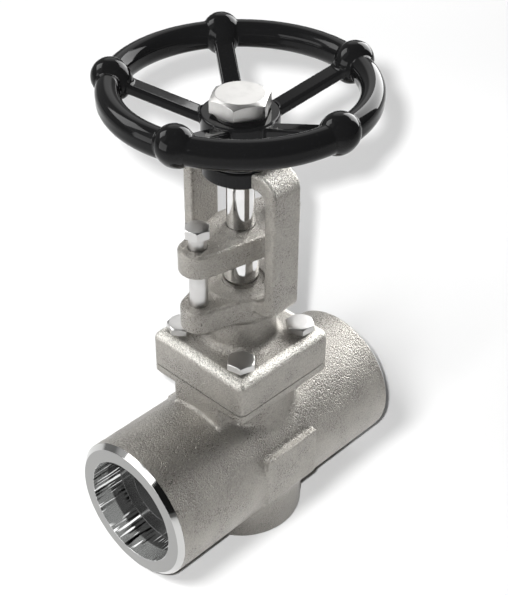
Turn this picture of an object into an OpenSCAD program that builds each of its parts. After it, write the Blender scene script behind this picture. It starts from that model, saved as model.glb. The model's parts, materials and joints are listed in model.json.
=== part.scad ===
// Forged gate valve with a bolted bonnet, an outside yoke and socket ends, in millimetres.
// Origin: centre of the flat underside of the base boss. X runs along the pipe, Z up the stem.
// The valve stands fully open: the wedge is raised and the threaded stem end is up inside the wheel nut.

/* [Body] */
// Length over the two end faces
body_len = 120; // [116:1:126]
// Outside diameter of the run
run_d = 57; // [56:0.5:58]
// Height of the pipe axis above the base
axis_h = 33; // [32:0.5:36]
// Diameter of the pipe sockets
socket_d = 42.7; // [42.6:0.05:43.1]
// Depth of the pipe sockets
socket_depth = 13.5; // [12.5:0.5:15]
// Bore between a socket and its seat ring
port_d = 26; // [24:0.5:27]
// Chamfer on the outer edge of the end faces
end_chamfer = 2; // [1:0.25:3]
// Diameter of the base boss
base_d = 49.6; // [48:0.4:52]
// Diameter of the upright barrel
barrel_d = 42; // [41:0.5:43]
// Diameter of the chamber that the wedge travels in
chamber_d = 33; // [33:0.5:33.5]

/* [Bonnet] */
// Side of the square bonnet flange
flange_side = 48.2; // [47:0.2:50]
// Height of the body-bonnet joint above the pipe axis
joint_rise = 39; // [38.5:0.5:40]
// Thickness of the bonnet flange
flange_t = 15; // [14.5:0.5:16]
// Radius of the flange's top and upright edges
flange_r = 3.2; // [2:0.2:4]
// Distance between bonnet bolts, along either side
bolt_pitch = 32; // [31:0.5:33]
// Nominal diameter of the bonnet bolts
bonnet_bolt_d = 6; // [6:0.5:7]
// Diameter of the stuffing-box neck
neck_d = 28; // [27:0.5:29]

/* [Yoke] */
// Width of a yoke arm, along the pipe
arm_w = 13.8; // [12:0.2:15]
// Thickness of a yoke arm
arm_t = 5; // [4.5:0.25:5.5]
// Distance over the outsides of the two arms
yoke_span = 46; // [45:0.5:48]
// Height of the yoke window
window_h = 46.5; // [45:0.5:48]
// Diameter of the yoke bush
bush_d = 27.7; // [26.5:0.1:28]

/* [Stem and wedge] */
// Diameter of the polished stem
stem_d = 10.5; // [10.4:0.05:10.6]
// Major diameter of the stem thread
thread_d = 10; // [9.6:0.1:10]
// Rise of the wedge from shut to open
lift = 24.5; // [24:0.25:24.5]
// Bore of the seat rings
seat_bore_d = 23; // [21:0.5:24]
// Slope of each wedge face
wedge_angle = 5; // [3:0.5:5]

/* [Gland] */
// Distance between the two gland bolts
gland_pitch = 43; // [42:0.5:44]
// Shank diameter of the gland bolts
gland_bolt_d = 6.7; // [6:0.1:7]
// Diameter of the gland bush where it shows
gland_bush_d = 13.8; // [13:0.1:14]
// Thickness of the gland flange
gland_flange_t = 9.5; // [8:0.5:10]

/* [Handwheel] */
// Diameter of the rim's centre circle
rim_circle_d = 89.4; // [88:0.2:100]
// Thickness of the rim
rim_t = 8.6; // [7.5:0.1:10]
// Diameter of the knots on the rim
knot_d = 13.6; // [12:0.2:15]
// Height of the rim's centre above the pipe axis
rim_rise = 156.8; // [155:0.2:162]
// Diameter of the hub
hub_d = 27.8; // [26.5:0.1:28]
// Number of spokes and knots
spoke_count = 5; // [4:1:6]
// Direction of the first spoke
spoke_start = 53.5; // [0:0.5:72]
// Size of the wheel nut across its flats
wheel_nut_af = 19.5; // [18.5:0.5:20]

/* [Hidden] */
$fn = 72;
forged = "#8f8a83";
machined = "#b5b4b0";
polished = "#d9dadb";
enamel = "#1b1c1e";
bronze = "#b08a4a";
graphite = "#3a3b3d";
trim_steel = "#a7a39c";

slack = 0.05;
run_r = run_d / 2;
end_x = body_len / 2;
port_r = port_d / 2;
socket_r = socket_d / 2;
chamber_r = chamber_d / 2;
half_flange = flange_side / 2;

joint_z = axis_h + joint_rise;
body_lip_t = 3.6;
body_lip_z = joint_z - body_lip_t;
lip_slope = 30;
lip_core_half = 14;
block_w = 24.8;
barrel_r = barrel_d / 2;
chamber_floor_z = axis_h - 17;
pad_half_w = 13.8;
pad_y = 28.5;
pad_top_z = axis_h + 12;
pad_foot_z = axis_h - 9.5;
pad_root_z = axis_h - 16;
pad_root_y = 24;

seat_pocket_d = 30.1;
seat_depth_x = 18;
seat_face_x = 7;
seat_tip_x = 4.5;

gasket_id = 33.6;
gasket_od = 38;
gasket_t = 1.4;

flange_top_z = joint_z + flange_t;
bolt_x = bolt_pitch / 2;
bolt_end_z = joint_z - 6;
bolt_head_af = 10;
bolt_head_h = 4;
spot_d = 13.2;

neck_r = neck_d / 2;
neck_fillet = 6;
lug_z = flange_top_z + 14.5;
lug_t = 10;
lug_top_z = lug_z + lug_t;
lug_end_r = 6.9;
bonnet_chamber_d = 29;
bonnet_chamber_top = joint_z + 10;
backseat_d = 17;
backseat_top = bonnet_chamber_top + 7;
box_d = 18;
box_floor_z = backseat_top + 3;

web_t = 5.5;
yoke_foot_z = lug_top_z - web_t;
window_top_z = lug_top_z + window_h;
head_t = 6.5;
yoke_top_z = window_top_z + head_t;
yoke_corner_r = 5;
window_corner_r = 4;
arm_edge_r = 1.4;

bush_z = window_top_z + 0.5;
bush_t = 5.7;
bush_top_z = bush_z + bush_t;
nut_journal_d = 16;
nut_spigot_d = 14.9;
nut_thread_d = 14;

packing_count = 5;
packing_h = 3.1;
packing_top_z = box_floor_z + packing_count * packing_h;
skirt_h = 3.6;
gland_z = lug_top_z + 14.3;
gland_top_z = gland_z + gland_flange_t;
gland_end_r = 7.2;
gland_mid_r = 12;
gland_recess = 1.5;
gland_x = gland_pitch / 2;
gland_head_z = gland_top_z + 4.7;
gland_head_af = 9;
gland_head_h = 4;
gland_bolt_end_z = lug_z + 1;

wedge_z = axis_h + lift;
wedge_r = 13;
wedge_face_gap = 0.05;
wedge_top = 22;
ear_y = 15.5;
ear_t = 8.4;
ear_h = 18;
rib_w = 4;
rib_y = 14;
tee_z = 13.2;
tee_h = 4;
tee_w = 14;
tee_t = 10.2;

stem_neck_d = 8;
stem_collar_d = 14;
stem_collar_z = wedge_z + wedge_top + 0.6;
backseat_gap = 0.3;
stem_thread_z = bush_z - 4.2;

washer_t = 0.6;
hub_z = bush_top_z + 0.9;
hub_top_z = axis_h + 148.6;
wheel_nut_h = 6.9;
wheel_nut_foot = 1;
wheel_nut_top_z = hub_top_z + wheel_nut_h;
nut_roof_t = 2.6;
nut_room_z = wheel_nut_top_z - nut_roof_t;
stem_top_z = nut_room_z - 0.5;
nut_turn = 2.7;
key_w = 3;
key_z = hub_z + 1.5;
key_len = 12;
key_in = 6;
key_out = 9;

rim_r = rim_circle_d / 2;
rim_z = axis_h + rim_rise;
knot_r = knot_d / 2;
rim_h = rim_t + 1.6;
knot_z = rim_z + 1.2;
knot_circle_r = rim_r + 0.3;
lobe_r = 6.5;
lobe_in = 1.4;
lobe_drop = 2;
spoke_w = 6.9;
spoke_t = 3.6;
spoke_in_r = 11;
spoke_slope = 19.8;
spoke_top_z = hub_top_z - 0.6;

// A square or oblong outline with round corners, centred.
module rounded_oblong(size, r) {
    union() {
        square([size.x - 2 * r, size.y], center = true);
        square([size.x, size.y - 2 * r], center = true);
        for (sx = [-1, 1], sy = [-1, 1])
            translate([sx * (size.x / 2 - r), sy * (size.y / 2 - r)]) circle(r);
    }
}

// A plate with two round ends on the X axis joined by straight sides to a round middle. The sides
// run a hair inside the tangent.
module oval_plate(end_x, end_r, mid_r, h) {
    sink = 0.05;
    tangent = acos((mid_r - end_r) / end_x);
    normal = [cos(tangent), sin(tangent)];
    mid = (mid_r - sink) * normal;
    end = [end_x, 0] + (end_r - sink) * normal;
    union() {
        cylinder(r = mid_r, h = h);
        for (s = [-1, 1]) translate([s * end_x, 0, 0]) cylinder(r = end_r, h = h);
        linear_extrude(h) polygon([
            mid, end, [end.x, -end.y], [mid.x, -mid.y],
            -mid, -end, [-end.x, end.y], [-mid.x, mid.y]
        ]);
    }
}

// A square block with round upright corners and a rounded top edge.
module pillow_block(side, h, r) {
    inner = side / 2 - r;
    linear_extrude(h - r) rounded_oblong([side, side], r);
    translate([0, 0, h - r]) {
        translate([-inner, -inner, 0]) cube([2 * inner, 2 * inner, r]);
        for (q = [0:3]) rotate([0, 0, 90 * q]) {
            translate([inner, 0, 0]) rotate([90, 0, 0]) cylinder(r = r, h = 2 * inner, center = true);
            translate([inner, inner, 0]) sphere(r);
        }
    }
}

// A tube along Z.
module tube(od, id, h) {
    difference() {
        cylinder(d = od, h = h);
        translate([0, 0, -1]) cylinder(d = id, h = h + 2);
    }
}

// Turns a shape built up Z so that it points along X, towards the given side, from the pipe axis.
module along_pipe(side) {
    translate([0, 0, axis_h]) rotate([0, side * 90, 0]) children();
}

// A hexagon head with its top corners turned off.
module hex_head(af, h, face_in = 0.2) {
    corner = af / 2 / cos(30);
    face_r = af / 2 - face_in;
    intersection() {
        cylinder(r = corner, h = h, $fn = 6);
        rotate_extrude() polygon([
            [0, 0], [corner, 0], [corner, h - (corner - face_r) * tan(30)], [face_r, h], [0, h]
        ]);
    }
}

// A hexagon bolt with its head's underside at z = 0 and its shank below.
module hex_bolt(d, len, af, head_h) {
    tip = 0.8;
    hex_head(af, head_h);
    rotate_extrude() polygon([[0, 0.5], [d / 2, 0.5], [d / 2, tip - len], [d / 2 - tip, -len], [0, -len]]);
}

// Places a child at each of the four bonnet bolts.
module at_bonnet_bolt(i) {
    translate([(i % 2 == 0 ? -1 : 1) * bolt_x, (i < 2 ? -1 : 1) * bolt_x, 0]) children();
}

// The run along the pipe, its end edges chamfered.
module run_form() {
    translate([0, 0, axis_h]) rotate([0, 90, 0]) rotate_extrude() polygon([
        [0, -end_x], [run_r - end_chamfer, -end_x], [run_r, -end_x + end_chamfer],
        [run_r, end_x - end_chamfer], [run_r - end_chamfer, end_x], [0, end_x]
    ]);
}

// The square lip that takes the bonnet, with its underside sloping in to the barrel.
module lip_form() {
    drop = (half_flange - lip_core_half) * tan(lip_slope);
    translate([0, 0, body_lip_z]) linear_extrude(body_lip_t)
        rounded_oblong([flange_side, flange_side], flange_r);
    translate([0, 0, body_lip_z - drop]) intersection() {
        linear_extrude(drop) rounded_oblong([flange_side, flange_side], flange_r);
        rotate([0, 0, 45])
            cylinder(r1 = lip_core_half * sqrt(2), r2 = half_flange * sqrt(2), h = drop, $fn = 4);
    }
}

// Flat-faced pads on both flanks, sloping back at the foot to the base boss.
module pads_form() {
    rotate([90, 0, 90]) linear_extrude(2 * pad_half_w, center = true) polygon([
        [-pad_y, pad_top_z], [-pad_y, pad_foot_z], [-pad_root_y, pad_root_z],
        [pad_root_y, pad_root_z], [pad_y, pad_foot_z], [pad_y, pad_top_z]
    ]);
}

// The flat boss that the valve stands on.
module base_form() {
    chamfer = 1.4;
    rotate_extrude() polygon([
        [0, 0], [base_d / 2 - chamfer, 0], [base_d / 2, chamfer], [base_d / 2, axis_h], [0, axis_h]
    ]);
}

// Sockets, ports and seat pockets, cut from both ends.
module waterway() {
    for (side = [-1, 1]) along_pipe(side) {
        translate([0, 0, end_x - socket_depth]) cylinder(r = socket_r, h = socket_depth + 1);
        cylinder(r = port_r, h = end_x);
        cylinder(d = seat_pocket_d, h = seat_depth_x);
    }
}

module body() {
    color(forged) difference() {
        union() {
            run_form();
            translate([0, 0, axis_h]) cylinder(r = barrel_r, h = body_lip_z - axis_h);
            translate([-half_flange, -block_w / 2, axis_h])
                cube([flange_side, block_w, body_lip_z - axis_h]);
            lip_form();
            pads_form();
            base_form();
        }
        waterway();
        difference() {
            translate([0, 0, chamber_floor_z]) cylinder(r = chamber_r, h = joint_z);
            for (side = [-1, 1]) translate([-rib_w / 2, side * (rib_y + 2) - 2, chamber_floor_z - 1])
                cube([rib_w, 4, joint_z - chamber_floor_z]);
        }
        translate([0, 0, joint_z - gasket_t]) cylinder(d = gasket_od + 2 * slack, h = gasket_t + 1);
        for (i = [0:3]) at_bonnet_bolt(i) translate([0, 0, axis_h + run_r])
            cylinder(d = bonnet_bolt_d + 2 * slack, h = joint_z);
    }
}

// A seat ring: pressed into its pocket, with its face sloped to suit the wedge.
module seat_ring(side) {
    color(machined) intersection() {
        along_pipe(side) translate([0, 0, seat_tip_x])
            tube(seat_pocket_d - 2 * slack, seat_bore_d, seat_depth_x - seat_tip_x);
        translate([0, 0, axis_h]) mirror([side < 0 ? 1 : 0, 0, 0]) rotate([0, wedge_angle, 0])
            translate([seat_face_x, -chamber_r, -chamber_r]) cube([chamber_r, chamber_d, chamber_d]);
    }
}

// The wedge's outline across the pipe: a disc, its two guide ears and the block for the stem head.
module wedge_outline() {
    block_half = 10.5;
    circle(wedge_r);
    translate([-block_half, 0]) square([2 * block_half, wedge_top]);
}

module wedge() {
    face_x = seat_face_x - wedge_face_gap;
    color(machined) translate([0, 0, wedge_z]) difference() {
        union() {
            intersection() {
                rotate([90, 0, 90]) linear_extrude(15, center = true) wedge_outline();
                for_both_faces() translate([face_x - 2 * wedge_r, -wedge_r - 3, -2 * wedge_r])
                    cube([2 * wedge_r, 2 * wedge_r + 6, 5 * wedge_r]);
            }
            translate([-ear_t / 2, -ear_y, -ear_h / 2]) cube([ear_t, 2 * ear_y, ear_h]);
        }
        for (side = [-1, 1]) translate([-rib_w / 2 - 0.25, side * (rib_y - 0.35 + 2) - 2, -wedge_r])
            cube([rib_w + 0.5, 4, 2 * wedge_r]);
        translate([-10, -tee_w / 2 - 0.3, tee_z - 0.3]) cube([20, tee_w + 0.6, tee_h + 0.6]);
        translate([-10, -stem_neck_d / 2 - 0.3, tee_z]) cube([20, stem_neck_d + 0.6, wedge_top]);
    }
}

// Keeps what lies inside both sloped faces of the wedge.
module for_both_faces() {
    intersection() {
        rotate([0, wedge_angle, 0]) children();
        mirror([1, 0, 0]) rotate([0, wedge_angle, 0]) children();
    }
}

module stem() {
    tee_base_z = wedge_z + tee_z;
    shank_r = stem_d / 2;
    neck_r = stem_neck_d / 2;
    collar_r = stem_collar_d / 2;
    cone_z = stem_collar_z + 1.3;
    tip = 0.8;
    color(polished) {
        translate([0, 0, tee_base_z]) intersection() {
            cylinder(d = tee_w, h = tee_h);
            translate([-tee_t / 2, -tee_w / 2, 0]) cube([tee_t, tee_w, tee_h]);
        }
        rotate_extrude() polygon([
            [0, tee_base_z + 1], [neck_r, tee_base_z + 1], [neck_r, stem_collar_z],
            [collar_r, stem_collar_z], [collar_r, cone_z], [shank_r, cone_z + collar_r - shank_r],
            [shank_r, stem_thread_z], [thread_d / 2, stem_thread_z + 0.25],
            [thread_d / 2, stem_top_z - tip], [thread_d / 2 - tip, stem_top_z], [0, stem_top_z]
        ]);
    }
}

// The yoke as one rounded frame across the pipe, its outer edges softened.
module yoke_form() {
    mid_z = (yoke_foot_z + yoke_top_z) / 2;
    outer_h = yoke_top_z - yoke_foot_z;
    difference() {
        intersection() {
            translate([0, 0, mid_z]) rotate([90, 0, 90]) linear_extrude(arm_w, center = true)
                rounded_oblong([yoke_span, outer_h], yoke_corner_r);
            translate([0, 0, yoke_foot_z]) linear_extrude(outer_h)
                rounded_oblong([arm_w, yoke_span], arm_edge_r);
            translate([0, 0, mid_z]) rotate([90, 0, 0]) linear_extrude(yoke_span, center = true)
                rounded_oblong([arm_w, outer_h], arm_edge_r);
        }
        translate([0, 0, (lug_top_z + window_top_z) / 2]) rotate([90, 0, 90])
            linear_extrude(2 * arm_w, center = true)
                rounded_oblong([yoke_span - 2 * arm_t, window_h], window_corner_r);
        translate([0, 0, window_top_z - 1]) cylinder(d = bush_d + 2 * slack, h = head_t + 2);
    }
}

// The neck with its fillet on the flange, and the two lugs that take the gland bolts.
module neck_form() {
    translate([0, 0, flange_top_z - 1]) cylinder(r = neck_r, h = lug_top_z - flange_top_z + 1);
    translate([0, 0, flange_top_z]) rotate_extrude() difference() {
        translate([neck_r - 1, 0]) square([neck_fillet + 1, neck_fillet]);
        translate([neck_r + neck_fillet, neck_fillet]) circle(neck_fillet);
    }
    translate([0, 0, lug_z]) oval_plate(gland_x, lug_end_r, neck_r, lug_t);
}

module bonnet() {
    color(forged) difference() {
        union() {
            translate([0, 0, joint_z]) pillow_block(flange_side, flange_t, flange_r);
            neck_form();
            yoke_form();
        }
        translate([0, 0, joint_z - 1]) cylinder(d = bonnet_chamber_d, h = bonnet_chamber_top - joint_z + 1);
        translate([0, 0, joint_z]) cylinder(d = backseat_d + 2 * slack, h = backseat_top - joint_z);
        translate([0, 0, joint_z]) cylinder(d = stem_d + 1, h = box_floor_z - joint_z + 1);
        translate([0, 0, box_floor_z]) cylinder(d = box_d, h = lug_top_z - box_floor_z + 1);
        for (i = [0:3]) at_bonnet_bolt(i) {
            translate([0, 0, joint_z - 1]) cylinder(d = bonnet_bolt_d + 0.6, h = flange_t + 2);
            translate([0, 0, flange_top_z]) cylinder(d = spot_d, h = neck_fillet);
        }
        for (side = [-1, 1]) translate([side * gland_x, 0, lug_z - 1])
            cylinder(d = gland_bolt_d + 2 * slack, h = lug_t + 2);
    }
}

module bonnet_gasket() {
    color(graphite) translate([0, 0, joint_z - gasket_t]) tube(gasket_od, gasket_id, gasket_t);
}

module bonnet_bolt(i) {
    color(polished) at_bonnet_bolt(i) translate([0, 0, flange_top_z])
        hex_bolt(bonnet_bolt_d, flange_top_z - bolt_end_z, bolt_head_af, bolt_head_h);
}

// The bush that the stem's collar closes on when the valve is fully open.
module backseat_bush() {
    bush_foot = bonnet_chamber_top - 0.7;
    bore_r = stem_d / 2 + 0.2;
    cone_r = stem_collar_d / 2 + 0.1;
    cone_foot = stem_collar_z + 1.3 + backseat_gap;
    color(bronze) difference() {
        translate([0, 0, bush_foot]) cylinder(d = backseat_d, h = backseat_top - bush_foot);
        rotate_extrude() polygon([
            [0, bush_foot - 1], [cone_r, bush_foot - 1], [cone_r, cone_foot],
            [bore_r, cone_foot + cone_r - bore_r], [bore_r, backseat_top + 1], [0, backseat_top + 1]
        ]);
    }
}

module packing_ring(i) {
    color(graphite) translate([0, 0, box_floor_z + i * packing_h])
        tube(box_d - 2 * slack, stem_d + 2 * slack, packing_h);
}

// The follower that presses the packing: a full-width skirt and a slimmer shank.
module gland_bush() {
    color(polished) difference() {
        union() {
            translate([0, 0, packing_top_z]) cylinder(d = box_d - 2 * slack, h = skirt_h);
            translate([0, 0, packing_top_z])
                cylinder(d = gland_bush_d, h = gland_z + gland_recess - packing_top_z);
        }
        translate([0, 0, packing_top_z - 1]) cylinder(d = stem_d + 0.2, h = gland_z);
    }
}

module gland_flange() {
    color(forged) translate([0, 0, gland_z]) difference() {
        oval_plate(gland_x, gland_end_r, gland_mid_r, gland_flange_t);
        translate([0, 0, -1]) cylinder(d = stem_d + 1.2, h = gland_flange_t + 2);
        translate([0, 0, -1]) cylinder(d = gland_bush_d + 0.2, h = gland_recess + 1);
        for (side = [-1, 1]) translate([side * gland_x, 0, -1])
            cylinder(d = gland_bolt_d + 0.5, h = gland_flange_t + 2);
    }
}

module gland_bolt(side) {
    color(polished) translate([side * gland_x, 0, gland_head_z])
        hex_bolt(gland_bolt_d, gland_head_z - gland_bolt_end_z, gland_head_af, gland_head_h);
}

// The round bush held between the yoke arms, in which the stem nut turns.
module yoke_bush() {
    color(enamel) translate([0, 0, bush_z]) tube(bush_d, nut_journal_d + 0.1, bush_t);
}

// The stem nut: flange below the bush, journal in it, and a keyed spigot for the wheel.
module yoke_nut() {
    flange_r = 9.4;
    boss_r = 6.8;
    flange_z = bush_z - 2.9;
    flange_top = bush_z - 0.9;
    journal_r = nut_journal_d / 2;
    spigot_r = nut_spigot_d / 2;
    thread_r = nut_thread_d / 2;
    spigot_top = hub_top_z - 1.5;
    color(bronze) difference() {
        rotate_extrude() polygon([
            [thread_d / 2 + 0.06, bush_z - 4], [boss_r, bush_z - 4], [boss_r, flange_z],
            [flange_r, flange_z], [flange_r, flange_top], [journal_r, flange_top],
            [journal_r, hub_z - 0.1], [spigot_r, hub_z - 0.1], [spigot_r, spigot_top],
            [thread_r, spigot_top], [thread_r, nut_room_z - 0.3], [thread_d / 2 + 0.06, nut_room_z - 0.3]
        ]);
        keyway();
    }
}

// The key's own space, shared by the stem nut and the hub.
module keyway() {
    translate([key_in, -key_w / 2, key_z]) cube([key_out - key_in, key_w, key_len]);
}

module wheel_key() {
    color(trim_steel) translate([key_in + slack, -key_w / 2 + slack, key_z + slack])
        cube([key_out - key_in - 2 * slack, key_w - 2 * slack, key_len - 2 * slack]);
}

module thrust_washer_lower() {
    color(trim_steel) translate([0, 0, bush_z - 0.75]) tube(18.8, nut_journal_d + 0.3, washer_t);
}

module thrust_washer_upper() {
    color(trim_steel) translate([0, 0, bush_top_z + 0.15]) tube(26.4, nut_journal_d + 0.3, washer_t);
}

// One straight flat spoke, rising from the hub to the foot of its knot.
module spoke() {
    run = (knot_circle_r - lobe_in - spoke_in_r) / cos(spoke_slope);
    start_z = spoke_top_z - spoke_t / 2 - (hub_d / 2 - spoke_in_r) * tan(spoke_slope);
    translate([spoke_in_r, 0, start_z]) rotate([0, 90 - spoke_slope, 0])
        linear_extrude(run) rounded_oblong([spoke_t, spoke_w], 1);
}

module handwheel() {
    hub_r = hub_d / 2;
    edge = 0.8;
    color(enamel) difference() {
        union() {
            translate([0, 0, rim_z]) rotate_extrude() translate([rim_r, 0])
                rounded_oblong([rim_t, rim_h], rim_t / 2 - 0.1);
            rotate_extrude() polygon([
                [0, hub_z], [hub_r, hub_z], [hub_r, hub_top_z - edge], [hub_r - edge, hub_top_z],
                [0, hub_top_z]
            ]);
            for (i = [0:spoke_count - 1]) rotate([0, 0, spoke_start + i * 360 / spoke_count]) {
                spoke();
                translate([knot_circle_r, 0, knot_z]) sphere(knot_r);
                translate([knot_circle_r - lobe_in, 0, knot_z - lobe_drop]) sphere(lobe_r);
            }
        }
        translate([0, 0, hub_z - 1]) cylinder(d = nut_spigot_d + 2 * slack, h = hub_top_z - hub_z + 2);
        keyway();
    }
}

// The closed nut that clamps the wheel, hollow for the top of the stem.
module wheel_nut() {
    color(polished) difference() {
        union() {
            translate([0, 0, hub_top_z]) cylinder(d = wheel_nut_af - 0.6, h = wheel_nut_foot + 1);
            translate([0, 0, hub_top_z + wheel_nut_foot]) rotate([0, 0, nut_turn + 30])
                hex_head(wheel_nut_af, wheel_nut_h - wheel_nut_foot, 1.1);
        }
        translate([0, 0, hub_top_z - 1])
            cylinder(d = nut_thread_d + 2 * slack, h = nut_room_z - hub_top_z + 1);
    }
}

body();
seat_ring(-1);  // seat_ring_front
seat_ring(1);  // seat_ring_rear
wedge();
stem();
bonnet();
bonnet_gasket();
bonnet_bolt(0);  // bonnet_bolt_1
bonnet_bolt(1);  // bonnet_bolt_2
bonnet_bolt(2);  // bonnet_bolt_3
bonnet_bolt(3);  // bonnet_bolt_4
backseat_bush();
packing_ring(0);  // packing_ring_1
packing_ring(1);  // packing_ring_2
packing_ring(2);  // packing_ring_3
packing_ring(3);  // packing_ring_4
packing_ring(4);  // packing_ring_5
gland_bush();
gland_flange();
gland_bolt(-1);  // gland_bolt_front
gland_bolt(1);  // gland_bolt_rear
yoke_bush();
yoke_nut();
thrust_washer_lower();
thrust_washer_upper();
handwheel();
wheel_key();
wheel_nut();
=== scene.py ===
"""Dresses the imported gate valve: forged skins, turned and polished steel, black enamel, pale studio.

The classes hold their sizes in millimetres, in the model's own frame: X along the pipe, Z up the
stem, the base of the boss at z = 0. Meshes go into Blender in metres.
"""

import json
import logging
import math
from dataclasses import dataclass
from enum import Enum
from functools import reduce
from typing import Callable, Sequence

import bmesh
import bpy
import numpy as np
from mathutils import Matrix, Vector

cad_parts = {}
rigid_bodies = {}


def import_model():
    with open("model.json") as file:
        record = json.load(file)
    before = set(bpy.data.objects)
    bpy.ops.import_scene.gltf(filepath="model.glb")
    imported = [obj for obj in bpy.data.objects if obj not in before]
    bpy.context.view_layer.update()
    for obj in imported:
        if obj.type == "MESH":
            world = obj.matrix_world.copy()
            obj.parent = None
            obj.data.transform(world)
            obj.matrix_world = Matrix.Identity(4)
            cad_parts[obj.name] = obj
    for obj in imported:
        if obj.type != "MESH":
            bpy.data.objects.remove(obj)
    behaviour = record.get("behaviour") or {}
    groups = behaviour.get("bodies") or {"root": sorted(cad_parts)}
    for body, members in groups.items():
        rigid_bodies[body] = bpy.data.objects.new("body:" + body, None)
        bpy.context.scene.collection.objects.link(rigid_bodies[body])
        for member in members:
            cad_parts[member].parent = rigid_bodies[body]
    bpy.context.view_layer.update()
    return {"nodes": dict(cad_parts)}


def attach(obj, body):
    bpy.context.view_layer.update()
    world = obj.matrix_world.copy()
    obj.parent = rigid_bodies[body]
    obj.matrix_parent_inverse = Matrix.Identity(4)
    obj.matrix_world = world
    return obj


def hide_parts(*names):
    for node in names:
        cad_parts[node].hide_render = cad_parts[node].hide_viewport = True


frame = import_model()

LOG = logging.getLogger("gate_valve")
MM = 0.001
Array = np.ndarray
Field = Callable[[Array, Array, Array], Array]


class Body(Enum):
    """The rigid bodies that the pieces ride on."""

    VALVE = "valve"
    WHEEL = "wheel"
    STEM = "stem"


class Slot(Enum):
    """The record's material slots."""

    FORGED = "forged_steel"
    MACHINED = "machined_steel"
    POLISHED = "polished_steel"
    ENAMEL = "black_enamel"
    BRONZE = "bronze"
    GRAPHITE = "graphite"


# ---------------------------------------------------------------------------------------------
# Fields: signed distance to a form in millimetres, negative inside.


def rod(u: Array, v: Array, radius: float) -> Array:
    """Distance to an endless round rod: length of (u, v) less the radius."""
    return np.hypot(u, v) - radius


def ball(u: Array, v: Array, w: Array, radius: float) -> Array:
    """Distance to a ball about the point where u, v and w are zero."""
    return np.sqrt(u * u + v * v + w * w) - radius


def slab(w: Array, low: float, high: float) -> Array:
    """Distance to the space between two level planes."""
    return np.abs(w - (low + high) / 2) - (high - low) / 2


def oblong(u: Array, v: Array, half_u: float, half_v: float, radius: float) -> Array:
    """Distance to a rectangle with round corners.

    Args:
        u: first coordinate from the centre.
        v: second coordinate from the centre.
        half_u: half the size along u.
        half_v: half the size along v.
        radius: corner radius.

    Returns:
        The outside part is the length of (max(|u| - a, 0), max(|v| - b, 0)), a and b being the half
        sizes less the radius. The inside part is min(max(|u| - a, |v| - b), 0). The radius is taken off.
    """
    over_u = np.abs(u) - (half_u - radius)
    over_v = np.abs(v) - (half_v - radius)
    outside = np.hypot(np.maximum(over_u, 0), np.maximum(over_v, 0))
    return outside + np.minimum(np.maximum(over_u, over_v), 0) - radius


def oval(u: Array, v: Array, reach: float, end_r: float, mid_r: float) -> Array:
    """Distance to a round middle with two round ends, joined by tangent lines.

    Args:
        u: coordinate along the line of the ends.
        v: coordinate across it.
        reach: centre to centre, from the middle to an end.
        end_r: radius of the ends.
        mid_r: radius of the middle.

    Returns:
        Distance to the middle circle, the end circle or the tangent line, whichever the point
        faces: the line's normal leans by the slope (mid_r - end_r) / reach.
    """
    along, across = np.abs(u), np.abs(v)
    lean = (mid_r - end_r) / reach
    level = math.sqrt(1 - lean * lean)
    place = level * along - lean * across
    middle = np.hypot(along, across) - mid_r
    end = np.hypot(along - reach, across) - end_r
    side = lean * along + level * across - mid_r
    return np.where(place < 0, middle, np.where(place > level * reach, end, side))


def join(*forms: Array) -> Array:
    """The union: the least of the distances."""
    return reduce(np.minimum, forms)


def keep(*forms: Array) -> Array:
    """What lies inside every form: the greatest of the distances."""
    return reduce(np.maximum, forms)


def fillet(a: Array, b: Array, radius: float | Array) -> Array:
    """Union with a round inner corner: max(r, min(a, b)) less the length of max(r - a, 0), max(r - b, 0)."""
    corner = np.hypot(np.maximum(radius - a, 0), np.maximum(radius - b, 0))
    return np.maximum(radius, np.minimum(a, b)) - corner


def filleted(form: Array, *parts: tuple[Array, float | Array]) -> Array:
    """Adds the parts one by one, each given with the radius of its inner corner."""
    return reduce(lambda whole, part: fillet(whole, *part), parts, form)


def round_off(a: Array, b: Array, radius: float) -> Array:
    """What lies inside both, with a round outer edge; the fillet's formula with the signs turned."""
    corner = np.hypot(np.maximum(radius + a, 0), np.maximum(radius + b, 0))
    return np.minimum(-radius, np.maximum(a, b)) + corner


def steps(*stops: tuple[float, float]) -> Array:
    """Grid lines with a step that changes from stretch to stretch.

    Args:
        stops: pairs of (coordinate, step up to it); the first pair's step is not used.

    Returns:
        Rising coordinates, each stretch divided evenly.
    """
    parts = [np.array([stops[0][0]])]
    for (low, _), (high, step) in zip(stops, stops[1:]):
        count = max(1, round((high - low) / step))
        parts.append(np.linspace(low, high, count + 1)[1:])
    return np.concatenate(parts)


def rise(value: Array, low: float, high: float) -> Array:
    """0 up to low, 1 from high on, straight between."""
    return np.clip((value - low) / (high - low), 0, 1)


def slope(solid: Field, points: Array) -> Array:
    """Unit gradient of a field at each point, by central differences over 0.01 mm to each side."""
    out = np.stack([
        solid(*(points + shift).T) - solid(*(points - shift).T) for shift in np.eye(3) * 0.01
    ], axis=1)
    return out / np.maximum(np.linalg.norm(out, axis=1, keepdims=True), 1e-12)


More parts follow.
